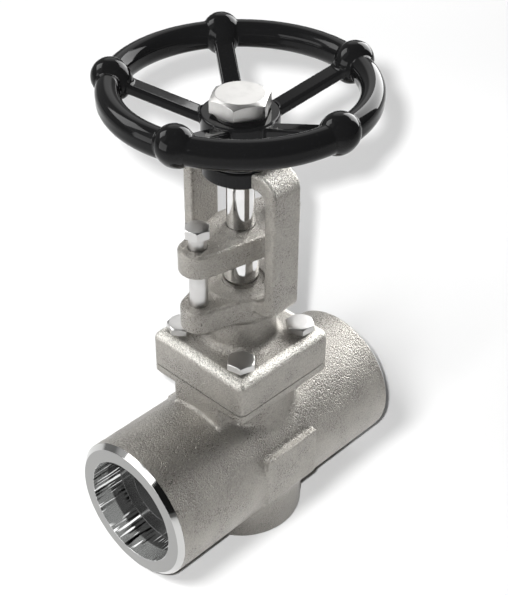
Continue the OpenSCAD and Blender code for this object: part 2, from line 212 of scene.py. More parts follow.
def crossing(solid: Field, inner: Array, outer: Array) -> Array:
    """Finds where the field is zero between points inside and outside.

    Args:
        solid: signed distance, negative inside.
        inner: points inside, (n, 3).
        outer: points outside, one for each.

    Returns:
        Points (n, 3). By turns the bracket is cut where a straight line between its values is zero,
        held off its ends, and halfway between that place and its middle.
    """
    low, high = inner.copy(), outer.copy()
    value_low, value_high = solid(*low.T), solid(*high.T)
    point = low
    for turn_no in range(6):
        share = value_low / (value_low - value_high)
        share = np.clip(share, 0.02, 0.98) if turn_no % 2 == 0 else share * 0.5 + 0.25
        point = low + share[:, None] * (high - low)
        value = solid(*point.T)
        inside = value < 0
        low = np.where(inside[:, None], point, low)
        high = np.where(inside[:, None], high, point)
        value_low = np.where(inside, value, value_low)
        value_high = np.where(inside, value_high, value)
    share = value_low / (value_low - value_high)
    return low + share[:, None] * (high - low)


def contour(solid: Field, xs: Array, ys: Array, zs: Array) -> tuple[Array, Array]:
    """Skins a field with four-sided faces and keeps its sharp edges.

    Each grid edge that the skin crosses gives a point and a normal. Each cell gets one vertex: from
    the mean of its points it moves to where the planes through those points meet, by least squares
    with a small pull to the mean. The four cells round a crossed edge share a face.

    Args:
        solid: signed distance, negative inside.
        xs: grid lines along X.
        ys: grid lines along Y.
        zs: grid lines along Z.

    Returns:
        Vertices (n, 3) and faces (m, 4).
    """
    lines = (xs, ys, zs)
    value = solid(xs[:, None, None], ys[None, :, None], zs[None, None, :])
    value = np.broadcast_to(value, (len(xs), len(ys), len(zs)))
    inside = value < 0
    shape = np.array(value.shape)
    stride = np.array([shape[1] * shape[2], shape[2], 1])
    cells, points, normals = [], [], []
    for axis in range(3):
        ahead = np.eye(3, dtype=int)[axis]
        near = tuple(slice(None, -1) if k == axis else slice(None) for k in range(3))
        far = tuple(slice(1, None) if k == axis else slice(None) for k in range(3))
        index = np.argwhere(inside[near] != inside[far])
        start = np.stack([lines[k][index[:, k]] for k in range(3)], axis=1)
        end = np.stack([lines[k][index[:, k] + ahead[k]] for k in range(3)], axis=1)
        leaving = inside[tuple(index.T)]
        first = leaving[:, None]
        point = crossing(solid, np.where(first, start, end), np.where(first, end, start))
        u, v = stride[(axis + 1) % 3], stride[(axis + 2) % 3]
        home = index @ stride
        ring = np.stack([home - u - v, home - v, home, home - u], axis=1)
        cells.append(np.where(first, ring, ring[:, ::-1]))
        points.append(point)
        normals.append(slope(solid, point))
    rings, point, normal = np.concatenate(cells), np.concatenate(points), np.concatenate(normals)
    ids, faces = np.unique(rings, return_inverse=True)
    faces = faces.reshape(rings.shape)
    owner = faces.T.ravel()
    point, normal = np.tile(point, (4, 1)), np.tile(normal, (4, 1))
    count = np.bincount(owner)

    def total(values: Array) -> Array:
        """Sum of the values over each cell."""
        return np.bincount(owner, weights=values)

    mean = np.stack([total(point[:, k]) for k in range(3)], axis=1) / count[:, None]
    gap = np.einsum("ij,ij->i", normal, point - mean[owner])
    right = np.stack([total(normal[:, k] * gap) for k in range(3)], axis=1)
    left = np.empty((len(ids), 3, 3))
    for a in range(3):
        for b in range(3):
            left[:, a, b] = total(normal[:, a] * normal[:, b])
    pull = 0.03
    left += (pull * count)[:, None, None] * np.eye(3)
    vertex = mean + np.linalg.solve(left, right[:, :, None])[:, :, 0]
    cell = np.stack(np.unravel_index(ids, value.shape), axis=1)
    low = np.stack([lines[k][cell[:, k]] for k in range(3)], axis=1)
    high = np.stack([lines[k][cell[:, k] + 1] for k in range(3)], axis=1)
    return np.clip(vertex, low, high), faces


# ---------------------------------------------------------------------------------------------
# Turned forms: a profile carried round an axis.


def soften(points: Sequence[tuple[float, float]], radius: float, closed: bool) -> Array:
    """Rounds the corners of a profile.

    Args:
        points: corners (radius, height) in order.
        radius: how far along each side a corner's round starts, at most 0.45 of the side.
        closed: whether the profile is a loop; an open one keeps its two ends.

    Returns:
        Points (n, 2), four to a corner. A corner P between the starts A and B follows
        (1 - t)^2 A + 2 t (1 - t) P + t^2 B.
    """
    corner = np.array(points, dtype=float)
    before, after = np.roll(corner, 1, axis=0) - corner, np.roll(corner, -1, axis=0) - corner
    length_before = np.linalg.norm(before, axis=1, keepdims=True)
    length_after = np.linalg.norm(after, axis=1, keepdims=True)
    start = corner + before / length_before * np.minimum(radius, 0.45 * length_before)
    end = corner + after / length_after * np.minimum(radius, 0.45 * length_after)
    if not closed:
        start[[0, -1]] = corner[[0, -1]]
        end[[0, -1]] = corner[[0, -1]]
    t = np.linspace(0, 1, 4)[None, :, None]
    curve = (1 - t) ** 2 * start[:, None] + 2 * t * (1 - t) * corner[:, None] + t * t * end[:, None]
    out = curve.reshape(-1, 2)
    fresh = np.r_[True, np.linalg.norm(np.diff(out, axis=0), axis=1) > 1e-6]
    return out[fresh]


def box_profile(inner: float, outer: float, low: float, high: float) -> list[tuple[float, float]]:
    """The four corners (radius, height) of a plain ring's profile."""
    return [(inner, low), (outer, low), (outer, high), (inner, high)]


def polar(radius: Array, angle: Array, height: Array) -> Array:
    """Points (radius cos angle, radius sin angle, height)."""
    return np.stack(np.broadcast_arrays(radius * np.cos(angle), radius * np.sin(angle), height), axis=-1)


def grid_faces(rows: int, columns: int, closed: bool) -> Array:
    """Faces of a grid of points that closes on itself along the rows.

    Args:
        rows: how many rows of points.
        columns: points to a row.
        closed: whether the columns close on themselves too.

    Returns:
        Vertex numbers (n, 4): each point with its neighbours in the next row and the next column.
    """
    i = np.arange(rows)[:, None]
    j = np.arange(columns if closed else columns - 1)[None, :]
    i_next, j_next = (i + 1) % rows, (j + 1) % columns
    return np.stack(np.broadcast_arrays(
        i * columns + j, i_next * columns + j, i_next * columns + j_next, i * columns + j_next
    ), axis=-1).reshape(-1, 4)


def lathe(profile: Array, closed: bool, segments: int) -> tuple[Array, Array]:
    """Turns a profile about Z.

    Args:
        profile: points (radius, height), the solid on their left as they run.
        closed: whether the profile is a loop.
        segments: points round a circle.

    Returns:
        Vertices (radius cos a, radius sin a, height) for every angle a, and their faces.
    """
    angle = np.arange(segments) * (2 * np.pi / segments)
    points = polar(profile[:, 0], angle[:, None], profile[:, 1])
    return points.reshape(-1, 3), grid_faces(segments, len(profile), closed)


def hexagon_radius(angle: Array, across_flats: float) -> Array:
    """Distance from the axis to a hexagon's side: half the flats over the cosine from the nearest flat."""
    from_flat = (angle + np.pi / 6) % (np.pi / 3) - np.pi / 6
    return across_flats / 2 / np.cos(from_flat)


# ---------------------------------------------------------------------------------------------
# Putting meshes into Blender.

DOUBLES = 1e-7  # metres: vertices nearer than this are merged
SPECK = 1e-8  # metres: shorter edges are dissolved
SKIN_SHARP, TURNED_SHARP, HEXAGON_SHARP = 38.0, 40.0, 24.0  # degrees past which an edge stays sharp
GRID_SHIFT = (0.013, 0.017, 0.019)  # millimetres: keeps the grid lines off the flats
EDGE_LEAN = 0.9  # cosine to its face below which a corner's slope is read again, nearer the middle
FALSE_LEAN = 0.5  # cosine below which a corner takes the face's own normal
INWARD = 0.35  # how far towards the face's middle that second reading is


def put_object(name: str, data: bpy.types.ID) -> bpy.types.Object:
    """Puts data into the scene.

    Args:
        name: the object's name.
        data: its mesh, camera or lamp.

    Returns:
        The object, at the origin.
    """
    made = bpy.data.objects.new(name, data)
    bpy.context.scene.collection.objects.link(made)
    return made


def put_mesh(name: str, points: Array, faces: Array, sharp: float) -> bpy.types.Object:
    """Makes an object of millimetre points and four-sided faces.

    Args:
        name: the piece's name.
        points: vertices (n, 3) in millimetres.
        faces: vertex numbers (m, 4).
        sharp: angle in degrees past which an edge stays sharp.

    Returns:
        The object, at the origin, poles and doubles merged.
    """
    mesh = bpy.data.meshes.new(name)
    mesh.vertices.add(len(points))
    mesh.vertices.foreach_set("co", (points * MM).astype(np.float32).ravel())
    mesh.loops.add(faces.size)
    mesh.loops.foreach_set("vertex_index", faces.astype(np.int32).ravel())
    mesh.polygons.add(len(faces))
    mesh.polygons.foreach_set("loop_start", np.arange(len(faces), dtype=np.int32) * 4)
    mesh.update(calc_edges=True)
    work = bmesh.new()
    work.from_mesh(mesh)
    bmesh.ops.remove_doubles(work, verts=work.verts, dist=DOUBLES)
    bmesh.ops.dissolve_degenerate(work, dist=SPECK, edges=work.edges)
    work.to_mesh(mesh)
    work.free()
    mesh.validate()
    mesh.polygons.foreach_set("use_smooth", np.ones(len(mesh.polygons), dtype=bool))
    mesh.set_sharp_from_angle(angle=math.radians(sharp))
    return put_object(name, mesh)


def read(items: bpy.types.bpy_prop_collection, name: str, width: int) -> Array:
    """Reads one property of every item of a mesh's list.

    Args:
        items: the list, such as the mesh's vertices.
        name: the property.
        width: numbers to an item.

    Returns:
        Whole numbers (n,) for a width of 1, else numbers (n, width).
    """
    out = np.empty(len(items) * width, dtype=np.int32 if width == 1 else np.float32)
    items.foreach_get(name, out)
    return out if width == 1 else out.reshape(-1, width).astype(float)


def field_normals(piece: bpy.types.Object, solid: Field) -> None:
    """Shades a skinned field by the field's own slope, so that its flats and rounds have no ripple.

    Each face corner takes the slope at its vertex. Where that leans far from the face, as at a sharp
    edge, it takes the slope a third of the way to the face's middle.

    Args:
        piece: the skinned object.
        solid: its field.
    """
    mesh = piece.data
    points = read(mesh.vertices, "co", 3) / MM
    corner, size = read(mesh.loops, "vertex_index", 1), read(mesh.polygons, "loop_total", 1)
    middle = np.repeat(read(mesh.polygons, "center", 3) / MM, size, axis=0)
    facing = np.repeat(read(mesh.polygons, "normal", 3), size, axis=0)
    normal = slope(solid, points)[corner]
    off = np.einsum("ij,ij->i", normal, facing) < EDGE_LEAN
    start = points[corner[off]]
    normal[off] = slope(solid, start + (middle[off] - start) * INWARD)
    wrong = np.einsum("ij,ij->i", normal, facing) < FALSE_LEAN
    normal[wrong] = facing[wrong]
    mesh.normals_split_custom_set(normal.tolist())


def painted_edge_highlights(
    piece: bpy.types.Object, solid: Field, most: float = 0.5, spare: tuple = (0.0, 0.0), across: float = 2.0,
) -> None:
    """Marks the broad rounds and fillets that face up in a point attribute: a painted highlight, which the
    forged skin shows as light specks.

    The field's Laplacian is 1 over the radius on a rounded edge, less than 0 in a fillet and nearly 0
    on a flat. The mark rises from 0 to 1 as its size goes from 0.07 to 0.2 per millimetre and falls to
    0 around the largest bend. The least mark over two steps, 0.4 and 0.8 mm, which leaves sharp edges
    out, and over the rise of the slope's Z part from 0.2 to 0.6 is kept.

    Args:
        piece: the skinned object.
        solid: its field.
        most: largest bend that is marked, per millimetre.
        spare: heights in millimetres between which nothing is marked.
        across: least size of the slope's X part at which fillets are marked; 2 leaves them all out.
    """
    mesh = piece.data
    points = read(mesh.vertices, "co", 3) / MM
    steep = slope(solid, points)
    mark = rise(steep[:, 2], 0.2, 0.6)
    for reach in (0.4, 0.8):
        bend = -6.0 * solid(*points.T)
        for shift in np.eye(3) * reach:
            bend = bend + solid(*(points + shift).T) + solid(*(points - shift).T)
        bend = np.where(np.abs(steep[:, 0]) > across, np.abs(bend), bend) / reach ** 2
        mark = np.minimum(mark, rise(bend, 0.07, 0.2) * (1 - rise(bend, most - 0.1, most + 0.1)))
    mark[(points[:, 2] > spare[0]) & (points[:, 2] < spare[1])] = 0.0
    # the mask of the painted highlight
    layer = mesh.attributes.new("painted_highlight", "FLOAT", "POINT")
    layer.data.foreach_set("value", mark.astype(np.float32))


def merged(*parts: tuple[Array, Array]) -> tuple[Array, Array]:
    """Joins meshes.

    Args:
        parts: each mesh's points and faces.

    Returns:
        The points and faces as one.
    """
    offsets = np.cumsum([0] + [len(points) for points, _ in parts[:-1]])
    points = np.concatenate([part[0] for part in parts])
    return points, np.concatenate([part[1] + offset for part, offset in zip(parts, offsets)])


def dress(piece: bpy.types.Object, material: bpy.types.Material) -> None:
    """Gives the piece that one material."""
    piece.data.materials.clear()
    piece.data.materials.append(material)


def settle(
    piece: bpy.types.Object, material: bpy.types.Material, body: Body, slot: Slot, *nodes: str,
) -> bpy.types.Object:
    """Dresses a piece, rides it on its body and hides the CAD nodes that it stands for.

    Args:
        piece: the piece.
        material: its finish.
        body: what it rides on.
        slot: the record's slot; not used.
        nodes: the CAD nodes that it replaces; none if it only adds to one.

    Returns:
        The piece.
    """
    dress(piece, material)
    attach(piece, body.value)
    if nodes:
        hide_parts(*nodes)
    LOG.info("%s: %d faces", piece.name, len(piece.data.polygons))
    return piece


def turned_piece(name: str, surface: tuple[Array, Array], sharp: float, *rest: object) -> None:
    """Makes a piece of flats and rounds, and lets its large faces lead the shading.

    Args:
        name: the piece's name.
        surface: its points and faces.
        sharp: angle in degrees past which an edge stays sharp.
        rest: its material, body, slot and nodes, as settle takes them.
    """
    piece = put_mesh(name, *surface, sharp)
    modifier = piece.modifiers.new("even_normals", "WEIGHTED_NORMAL")
    modifier.keep_sharp = True
    modifier.weight = 100
    settle(piece, *rest)


def skinned_piece(name: str, solid: Field, grid: Sequence[Array], *rest: object) -> bpy.types.Object:
    """Makes a piece of a field's skin, shaded by the field's own slope.

    Args:
        name: the piece's name.
        solid: the field.
        grid: the grid lines along X, Y and Z.
        rest: its material, body, slot and nodes, as settle takes them.

    Returns:
        The piece.
    """
    lines = [line + shift for line, shift in zip(grid, GRID_SHIFT)]
    piece = put_mesh(name, *contour(solid, *lines), SKIN_SHARP)
    field_normals(piece, solid)
    return settle(piece, *rest)


# ---------------------------------------------------------------------------------------------
# Shader building.


class Wire:
    """A shader socket that takes part in arithmetic: each operation adds a Math node."""

    def __init__(self, graph: "Graph", socket: bpy.types.NodeSocket) -> None:
        """Keeps the graph and the output socket."""
        self.graph = graph
        self.socket = socket

    def _math(self, operation: str, *values: "Wire | float") -> "Wire":
        """One Math node on the values, in order."""
        return self.graph.node("ShaderNodeMath", dict(enumerate(values)), operation=operation)

    def __add__(self, other: "Wire | float") -> "Wire":
        """self + other."""
        return self._math("ADD", self, other)

    __radd__ = __add__

    def __mul__(self, other: "Wire | float") -> "Wire":
        """self * other."""
        return self._math("MULTIPLY", self, other)

    __rmul__ = __mul__

    def __sub__(self, other: "Wire | float") -> "Wire":
        """self - other."""
        return self._math("SUBTRACT", self, other)

    def __rsub__(self, other: "Wire | float") -> "Wire":
        """other - self."""
        return self._math("SUBTRACT", other, self)

    def clipped(self, low: float = 0.0, high: float = 1.0) -> "Wire":
        """The value held between two limits."""
        return self._math("MINIMUM", self._math("MAXIMUM", self, low), high)

    def ramp(self, low: float, high: float) -> "Wire":
        """0 up to low, 1 from high on, smooth between."""
        limits = {0: self, 1: low, 2: high, 3: 0.0, 4: 1.0}
        return self.graph.node("ShaderNodeMapRange", limits, interpolation_type="SMOOTHSTEP")


class Graph:
    """A material's, lamp's or world's node tree, built node by node."""

    def __init__(self, tree: bpy.types.NodeTree) -> None:
        """Empties the tree."""
        self.tree = tree
        tree.nodes.clear()

    def node(self, kind: str, inputs: dict | None = None, out: int | str = 0, **settings: object) -> Wire:
        """Adds one node.

        Args:
            kind: the node's type.
            inputs: values or wires by socket name or number.
            out: the output to hand back.
            settings: its properties, such as its operation, set first.

        Returns:
            A wire on that output.
        """
        made = self.tree.nodes.new(kind)
        for key, value in settings.items():
            setattr(made, key, value)
        for key, value in (inputs or {}).items():
            if isinstance(value, Wire):
                self.tree.links.new(value.socket, made.inputs[key])
            elif isinstance(value, tuple) and made.inputs[key].type == "RGBA":
                made.inputs[key].default_value = (*value, 1.0)
            else:
                made.inputs[key].default_value = value
        return Wire(self, made.outputs[out] if made.outputs else None)

    def noise(self, place: Wire, scale: float, detail: float = 2.0, rough: float = 0.5) -> Wire:
        """Plain noise, 0 to 1, with that many features to the metre."""
        inputs = {"Vector": place, "Scale": scale, "Detail": detail, "Roughness": rough}
        return self.node("ShaderNodeTexNoise", inputs)

    def dot(self, place: Wire, direction: tuple) -> Wire:
        """How far a place lies along a direction."""
        return self.node("ShaderNodeVectorMath", {0: place, 1: direction}, "Value", operation="DOT_PRODUCT")

    def length(self, place: Wire) -> Wire:
        """How far a place is from the origin."""
        return self.node("ShaderNodeVectorMath", {0: place}, "Value", operation="LENGTH")

    def scaled(self, place: Wire, by: tuple) -> Wire:
        """A place with each coordinate multiplied by its own number."""
        return self.node("ShaderNodeVectorMath", {0: place, 1: by}, operation="MULTIPLY")

    def bump(self, height: Wire, distance: float, strength: float = 1.0) -> Wire:
        """A normal that follows a height."""
        return self.node("ShaderNodeBump", {"Height": height, "Distance": distance, "Strength": strength})

    def colour_mix(self, share: Wire | float, first: Wire | tuple, second: Wire | tuple) -> Wire:
        """Mixes two colours."""
        return self.node("ShaderNodeMix", {0: share, 6: first, 7: second}, 2, data_type="RGBA")


def start_material(name: str) -> tuple[bpy.types.Material, Graph, Wire]:
    """Starts a material.

    Args:
        name: its name.

    Returns:
        The material, its graph and the Object coordinates.
    """
    material = bpy.data.materials.new(name)
    material.use_nodes = True
    graph = Graph(material.node_tree)
    return material, graph, graph.node("ShaderNodeTexCoord", out="Object")


def close_material(graph: Graph, inputs: dict) -> None:
    """Ends the graph with the one shader and the output."""
    shader = graph.node("ShaderNodeBsdfPrincipled", inputs)
    graph.node("ShaderNodeOutputMaterial", {"Surface": shader})


@dataclass(frozen=True)
class ForgedSkin:
    """Blasted forging skin: satin grey metal with a fine pitted grain and broad soft mottling."""

    name: str = "forged_skin"
    light: tuple = (0.485, 0.463, 0.425)
    dark: tuple = (0.255, 0.242, 0.222)
    # colour of the painted highlight on the broad upward edges
    bright: tuple = (0.93, 0.91, 0.85)
    # painted shade at the foot, near the floor: its colour, the heights over which it fades, and its share
    low: tuple = (0.16, 0.152, 0.14)
    painted_shade_heights: tuple = (0.004, 0.024)
    painted_shade_share: float = 0.55
    roughness: float = 0.30
    metallic: float = 0.92
    grain: float = 1900.0
    mottle: float = 70.0
    depth: float = 0.00042

    def build(self) -> bpy.types.Material:
        """Grain and pits give bump, roughness and a little colour; slow noise mottles the whole.

        Painted shade darkens the foot of the forging, and a painted highlight lightens the marked broad
        upward edges in specks.

        Returns:
            The material.
        """
        material, g, place = start_material(self.name)
        fine = g.noise(place, self.grain, 3.0, 0.65)
        coarse = g.noise(place, self.grain * 0.5)
        slow = g.noise(place, self.mottle, 3.0)
        cell = g.node("ShaderNodeTexVoronoi", {"Vector": place, "Scale": self.grain * 0.6}, feature="F1")
        pit = 1.0 - cell.ramp(0.05, 0.45)
        height = fine * 0.8 + coarse * 0.6 - pit * 0.35
        tone = fine.ramp(0.25, 0.75) * 0.4 + coarse.ramp(0.3, 0.7) * 0.25 + slow.ramp(0.3, 0.7) * 0.35
        colour = g.colour_mix(tone.clipped(), self.dark, self.light)
        # painted shade: darker towards the foot
        foot = 1.0 - g.dot(place, (0.0, 0.0, 1.0)).ramp(*self.painted_shade_heights)
        colour = g.colour_mix(foot * self.painted_shade_share, colour, self.low)
        # painted highlight: the marked broad upward edges lighten in specks
        painted_highlight = g.node("ShaderNodeAttribute", out="Fac", attribute_name="painted_highlight")
        specks = (painted_highlight * (fine.ramp(0.38, 0.58) * 0.75 + 0.25)).clipped()
        colour = g.colour_mix(specks, colour, self.bright)
        rough = (self.roughness + (slow - 0.5) * 0.12 + (fine - 0.5) * 0.16).clipped(0.15, 0.9)
        close_material(g, {
            "Base Color": colour, "Roughness": rough, "Metallic": self.metallic,
            "Normal": g.bump(height, self.depth),
        })
        return material


@dataclass(frozen=True)
class TurnedSteel:
    """Turned or polished steel with faint tool marks that run round its axis."""

    name: str
    colour: tuple
    roughness: float
    marks: float
    axis: str = "z"
    marks_along: float = 2600.0
    marks_round: float = 60.0
    worn: float = 0.82
    depth: float = 0.000004

    def build(self) -> bpy.types.Material:
        """Stretched noise makes rings: its place is scaled hard along the axis and hardly across it.

        Returns:
            The material.
        """
        material, g, place = start_material(self.name)
        squeeze = tuple(self.marks_along if name == self.axis else self.marks_round for name in "xyz")
        rings = g.noise(g.scaled(place, squeeze), 1.0, 3.0)
        slow = g.noise(place, 160.0, 3.0)
        specks = g.noise(place, 2200.0)
        worn = tuple(self.worn * part for part in self.colour)
        colour = g.colour_mix((slow.ramp(0.35, 0.75) * 0.6 + rings * self.marks).clipped(), self.colour, worn)
        rough = self.roughness + (slow - 0.5) * 0.10 + (rings - 0.5) * 0.10 * self.marks
        close_material(g, {
            "Base Color": colour, "Roughness": rough.clipped(0.03, 0.8), "Metallic": 1.0,
            "Normal": g.bump(rings * self.marks + specks * 0.3, self.depth),
        })
        return material


@dataclass(frozen=True)
class EndSteel:
    """The turned pipe ends: plain face, bright chamfer and mirror-bright socket with painted reflections and
    painted shade.
    """

    name: str = "turned_end"
    face: tuple = (0.335, 0.335, 0.328)
    rim: tuple = (0.58, 0.58, 0.57)
    wall: tuple = (0.52, 0.53, 0.52)
    # painted shade: the colour of the wall deep in the socket
    painted_shade_deep: tuple = (0.12, 0.121, 0.12)
    # painted reflections: colours of the black and white streaks near the socket's mouth
    painted_reflection_dark: tuple = (0.004, 0.004, 0.004)
    painted_reflection_bright: tuple = (1.0, 1.0, 1.0)
    axis_z: float = 0.033
    socket_r: float = 0.0215
    chamfer_r: float = 0.0265
    blur: float = 0.00005
    painted_reflection_from: tuple = (0.0466, 0.0470)
    painted_shade_to: tuple = (0.0522, 0.0530)
    painted_reflection_scale: tuple = (60.0, 880.0, 880.0)

    def build(self) -> bpy.types.Material:
        """The distance from the pipe axis tells chamfer, face and wall apart; X tells the wall's depth.

        The painted reflections are noise stretched along X, cut off at a high and a low value into black and
        white streaks; painted shade darkens the wall deeper in.

        Returns:
            The material.
        """
        material, g, place = start_material(self.name)
        offset = g.node("ShaderNodeVectorMath", {0: place, 1: (0.0, 0.0, self.axis_z)}, operation="SUBTRACT")
        radius = g.length(g.scaled(offset, (0.0, 1.0, 1.0)))
        wall = 1.0 - radius.ramp(self.socket_r - self.blur, self.socket_r + self.blur)
        rim = radius.ramp(self.chamfer_r - self.blur, self.chamfer_r + self.blur)
        plain = g.colour_mix(rim, self.face, self.rim)
        streaks = g.noise(g.scaled(place, self.painted_reflection_scale), 1.0, 1.0)
        out = g.length(g.scaled(place, (1.0, 0.0, 0.0)))
        where = g.noise(place, 75.0, 1.0).ramp(0.36, 0.48) * out.ramp(*self.painted_reflection_from)
        bright = streaks.ramp(0.60, 0.63) * where
        # painted shade: the wall darkens deeper in the socket
        painted_wall = g.colour_mix(out.ramp(*self.painted_shade_to), self.painted_shade_deep, self.wall)
        # painted reflections: black, then white streaks near the mouth; the white ones are made less metallic
        # so that they show as light
        painted_wall = g.colour_mix((1.0 - streaks.ramp(0.42, 0.45)) * where, painted_wall, self.painted_reflection_dark)
        painted_wall = g.colour_mix(bright, painted_wall, self.painted_reflection_bright)
        slow = g.noise(place, 160.0, 3.0)
        rough = (0.05 + wall * 0.15 + slow.ramp(0.3, 0.8) * (1.0 - wall) * 0.05).clipped(0.01, 0.5)
        close_material(g, {
            "Base Color": g.colour_mix(wall, plain, painted_wall), "Roughness": rough,
            "Metallic": 1.0 - wall * (bright * 0.4 + 0.22),
        })
        return material


@dataclass(frozen=True)
class Enamel:
    """Gloss black enamel with a slight orange peel and dust."""

    name: str = "black_enamel"
    colour: tuple = (0.0055, 0.0055, 0.0057)
    dusty: tuple = (0.010, 0.010, 0.0105)
    roughness: float = 0.05
    specular: float = 0.15
    depth: float = 0.00002
    peel: float = 0.25

    def build(self) -> bpy.types.Material:
        """Slow noise ripples the gloss; a fine one dulls it in places.

        Returns:
            The material.
        """
        material, g, place = start_material(self.name)
        dust = g.noise(place, 900.0, 3.0).ramp(0.55, 0.8)
        slow = g.noise(place, 45.0, 3.0)
        close_material(g, {
            "Base Color": g.colour_mix(dust * 0.5, self.colour, self.dusty),
            "Roughness": (self.roughness + slow.ramp(0.4, 0.8) * 0.10 + dust * 0.05).clipped(0.03, 0.6),
            "Metallic": 0.0, "Specular IOR Level": self.specular,
            "Normal": g.bump(g.noise(place, 260.0), self.depth, self.peel),
        })
        return material


@dataclass(frozen=True)
class DullFill:
    """Pressed graphite."""

    name: str = "graphite"
    light: tuple = (0.085, 0.085, 0.09)
    dark: tuple = (0.045, 0.045, 0.048)
    roughness: float = 0.6
    depth: float = 0.00003
    relief: float = 0.7

    def build(self) -> bpy.types.Material:
        """Fine noise varies tone, dullness and height.

        Returns:
            The material.
        """
        material, g, place = start_material(self.name)
        fine = g.noise(place, 1800.0, 3.0)
        close_material(g, {
            "Base Color": g.colour_mix(fine, self.dark, self.light),
            "Roughness": (self.roughness + (fine - 0.5) * 0.2).clipped(0.1, 0.95), "Metallic": 0.0,
            "Normal": g.bump(fine, self.depth, self.relief),
        })
        return material


class Finishes:
    """Every finish, built once."""

    def __init__(self) -> None:
        """Builds the materials; a turned steel's numbers are its colour, roughness and tool marks."""
        self.forged = ForgedSkin().build()
        self.turned_x = TurnedSteel("turned_steel_pipe", (0.70, 0.70, 0.69), 0.14, 0.5, "x").build()
        self.turned_z = TurnedSteel("turned_steel_stem", (0.66, 0.65, 0.63), 0.24, 0.7).build()
        self.polished = TurnedSteel("polished_steel", (0.86, 0.86, 0.855), 0.08, 0.10).build()
        self.satin = TurnedSteel("satin_steel", (0.66, 0.652, 0.64), 0.34, 0.10).build()
        self.pale = TurnedSteel("pale_steel", (0.84, 0.83, 0.81), 0.42, 0.10).build()
        self.oiled = TurnedSteel("oiled_steel", (0.10, 0.10, 0.10), 0.30, 0.30).build()
        self.ends = EndSteel().build()
        self.enamel = Enamel().build()
        self.bronze = TurnedSteel("bronze", (0.60, 0.42, 0.20), 0.25, 0.6).build()
        self.oiled_bronze = TurnedSteel("oiled_bronze", (0.055, 0.042, 0.026), 0.45, 0.3).build()
        self.graphite = DullFill().build()


# ---------------------------------------------------------------------------------------------
# The valve's pieces.


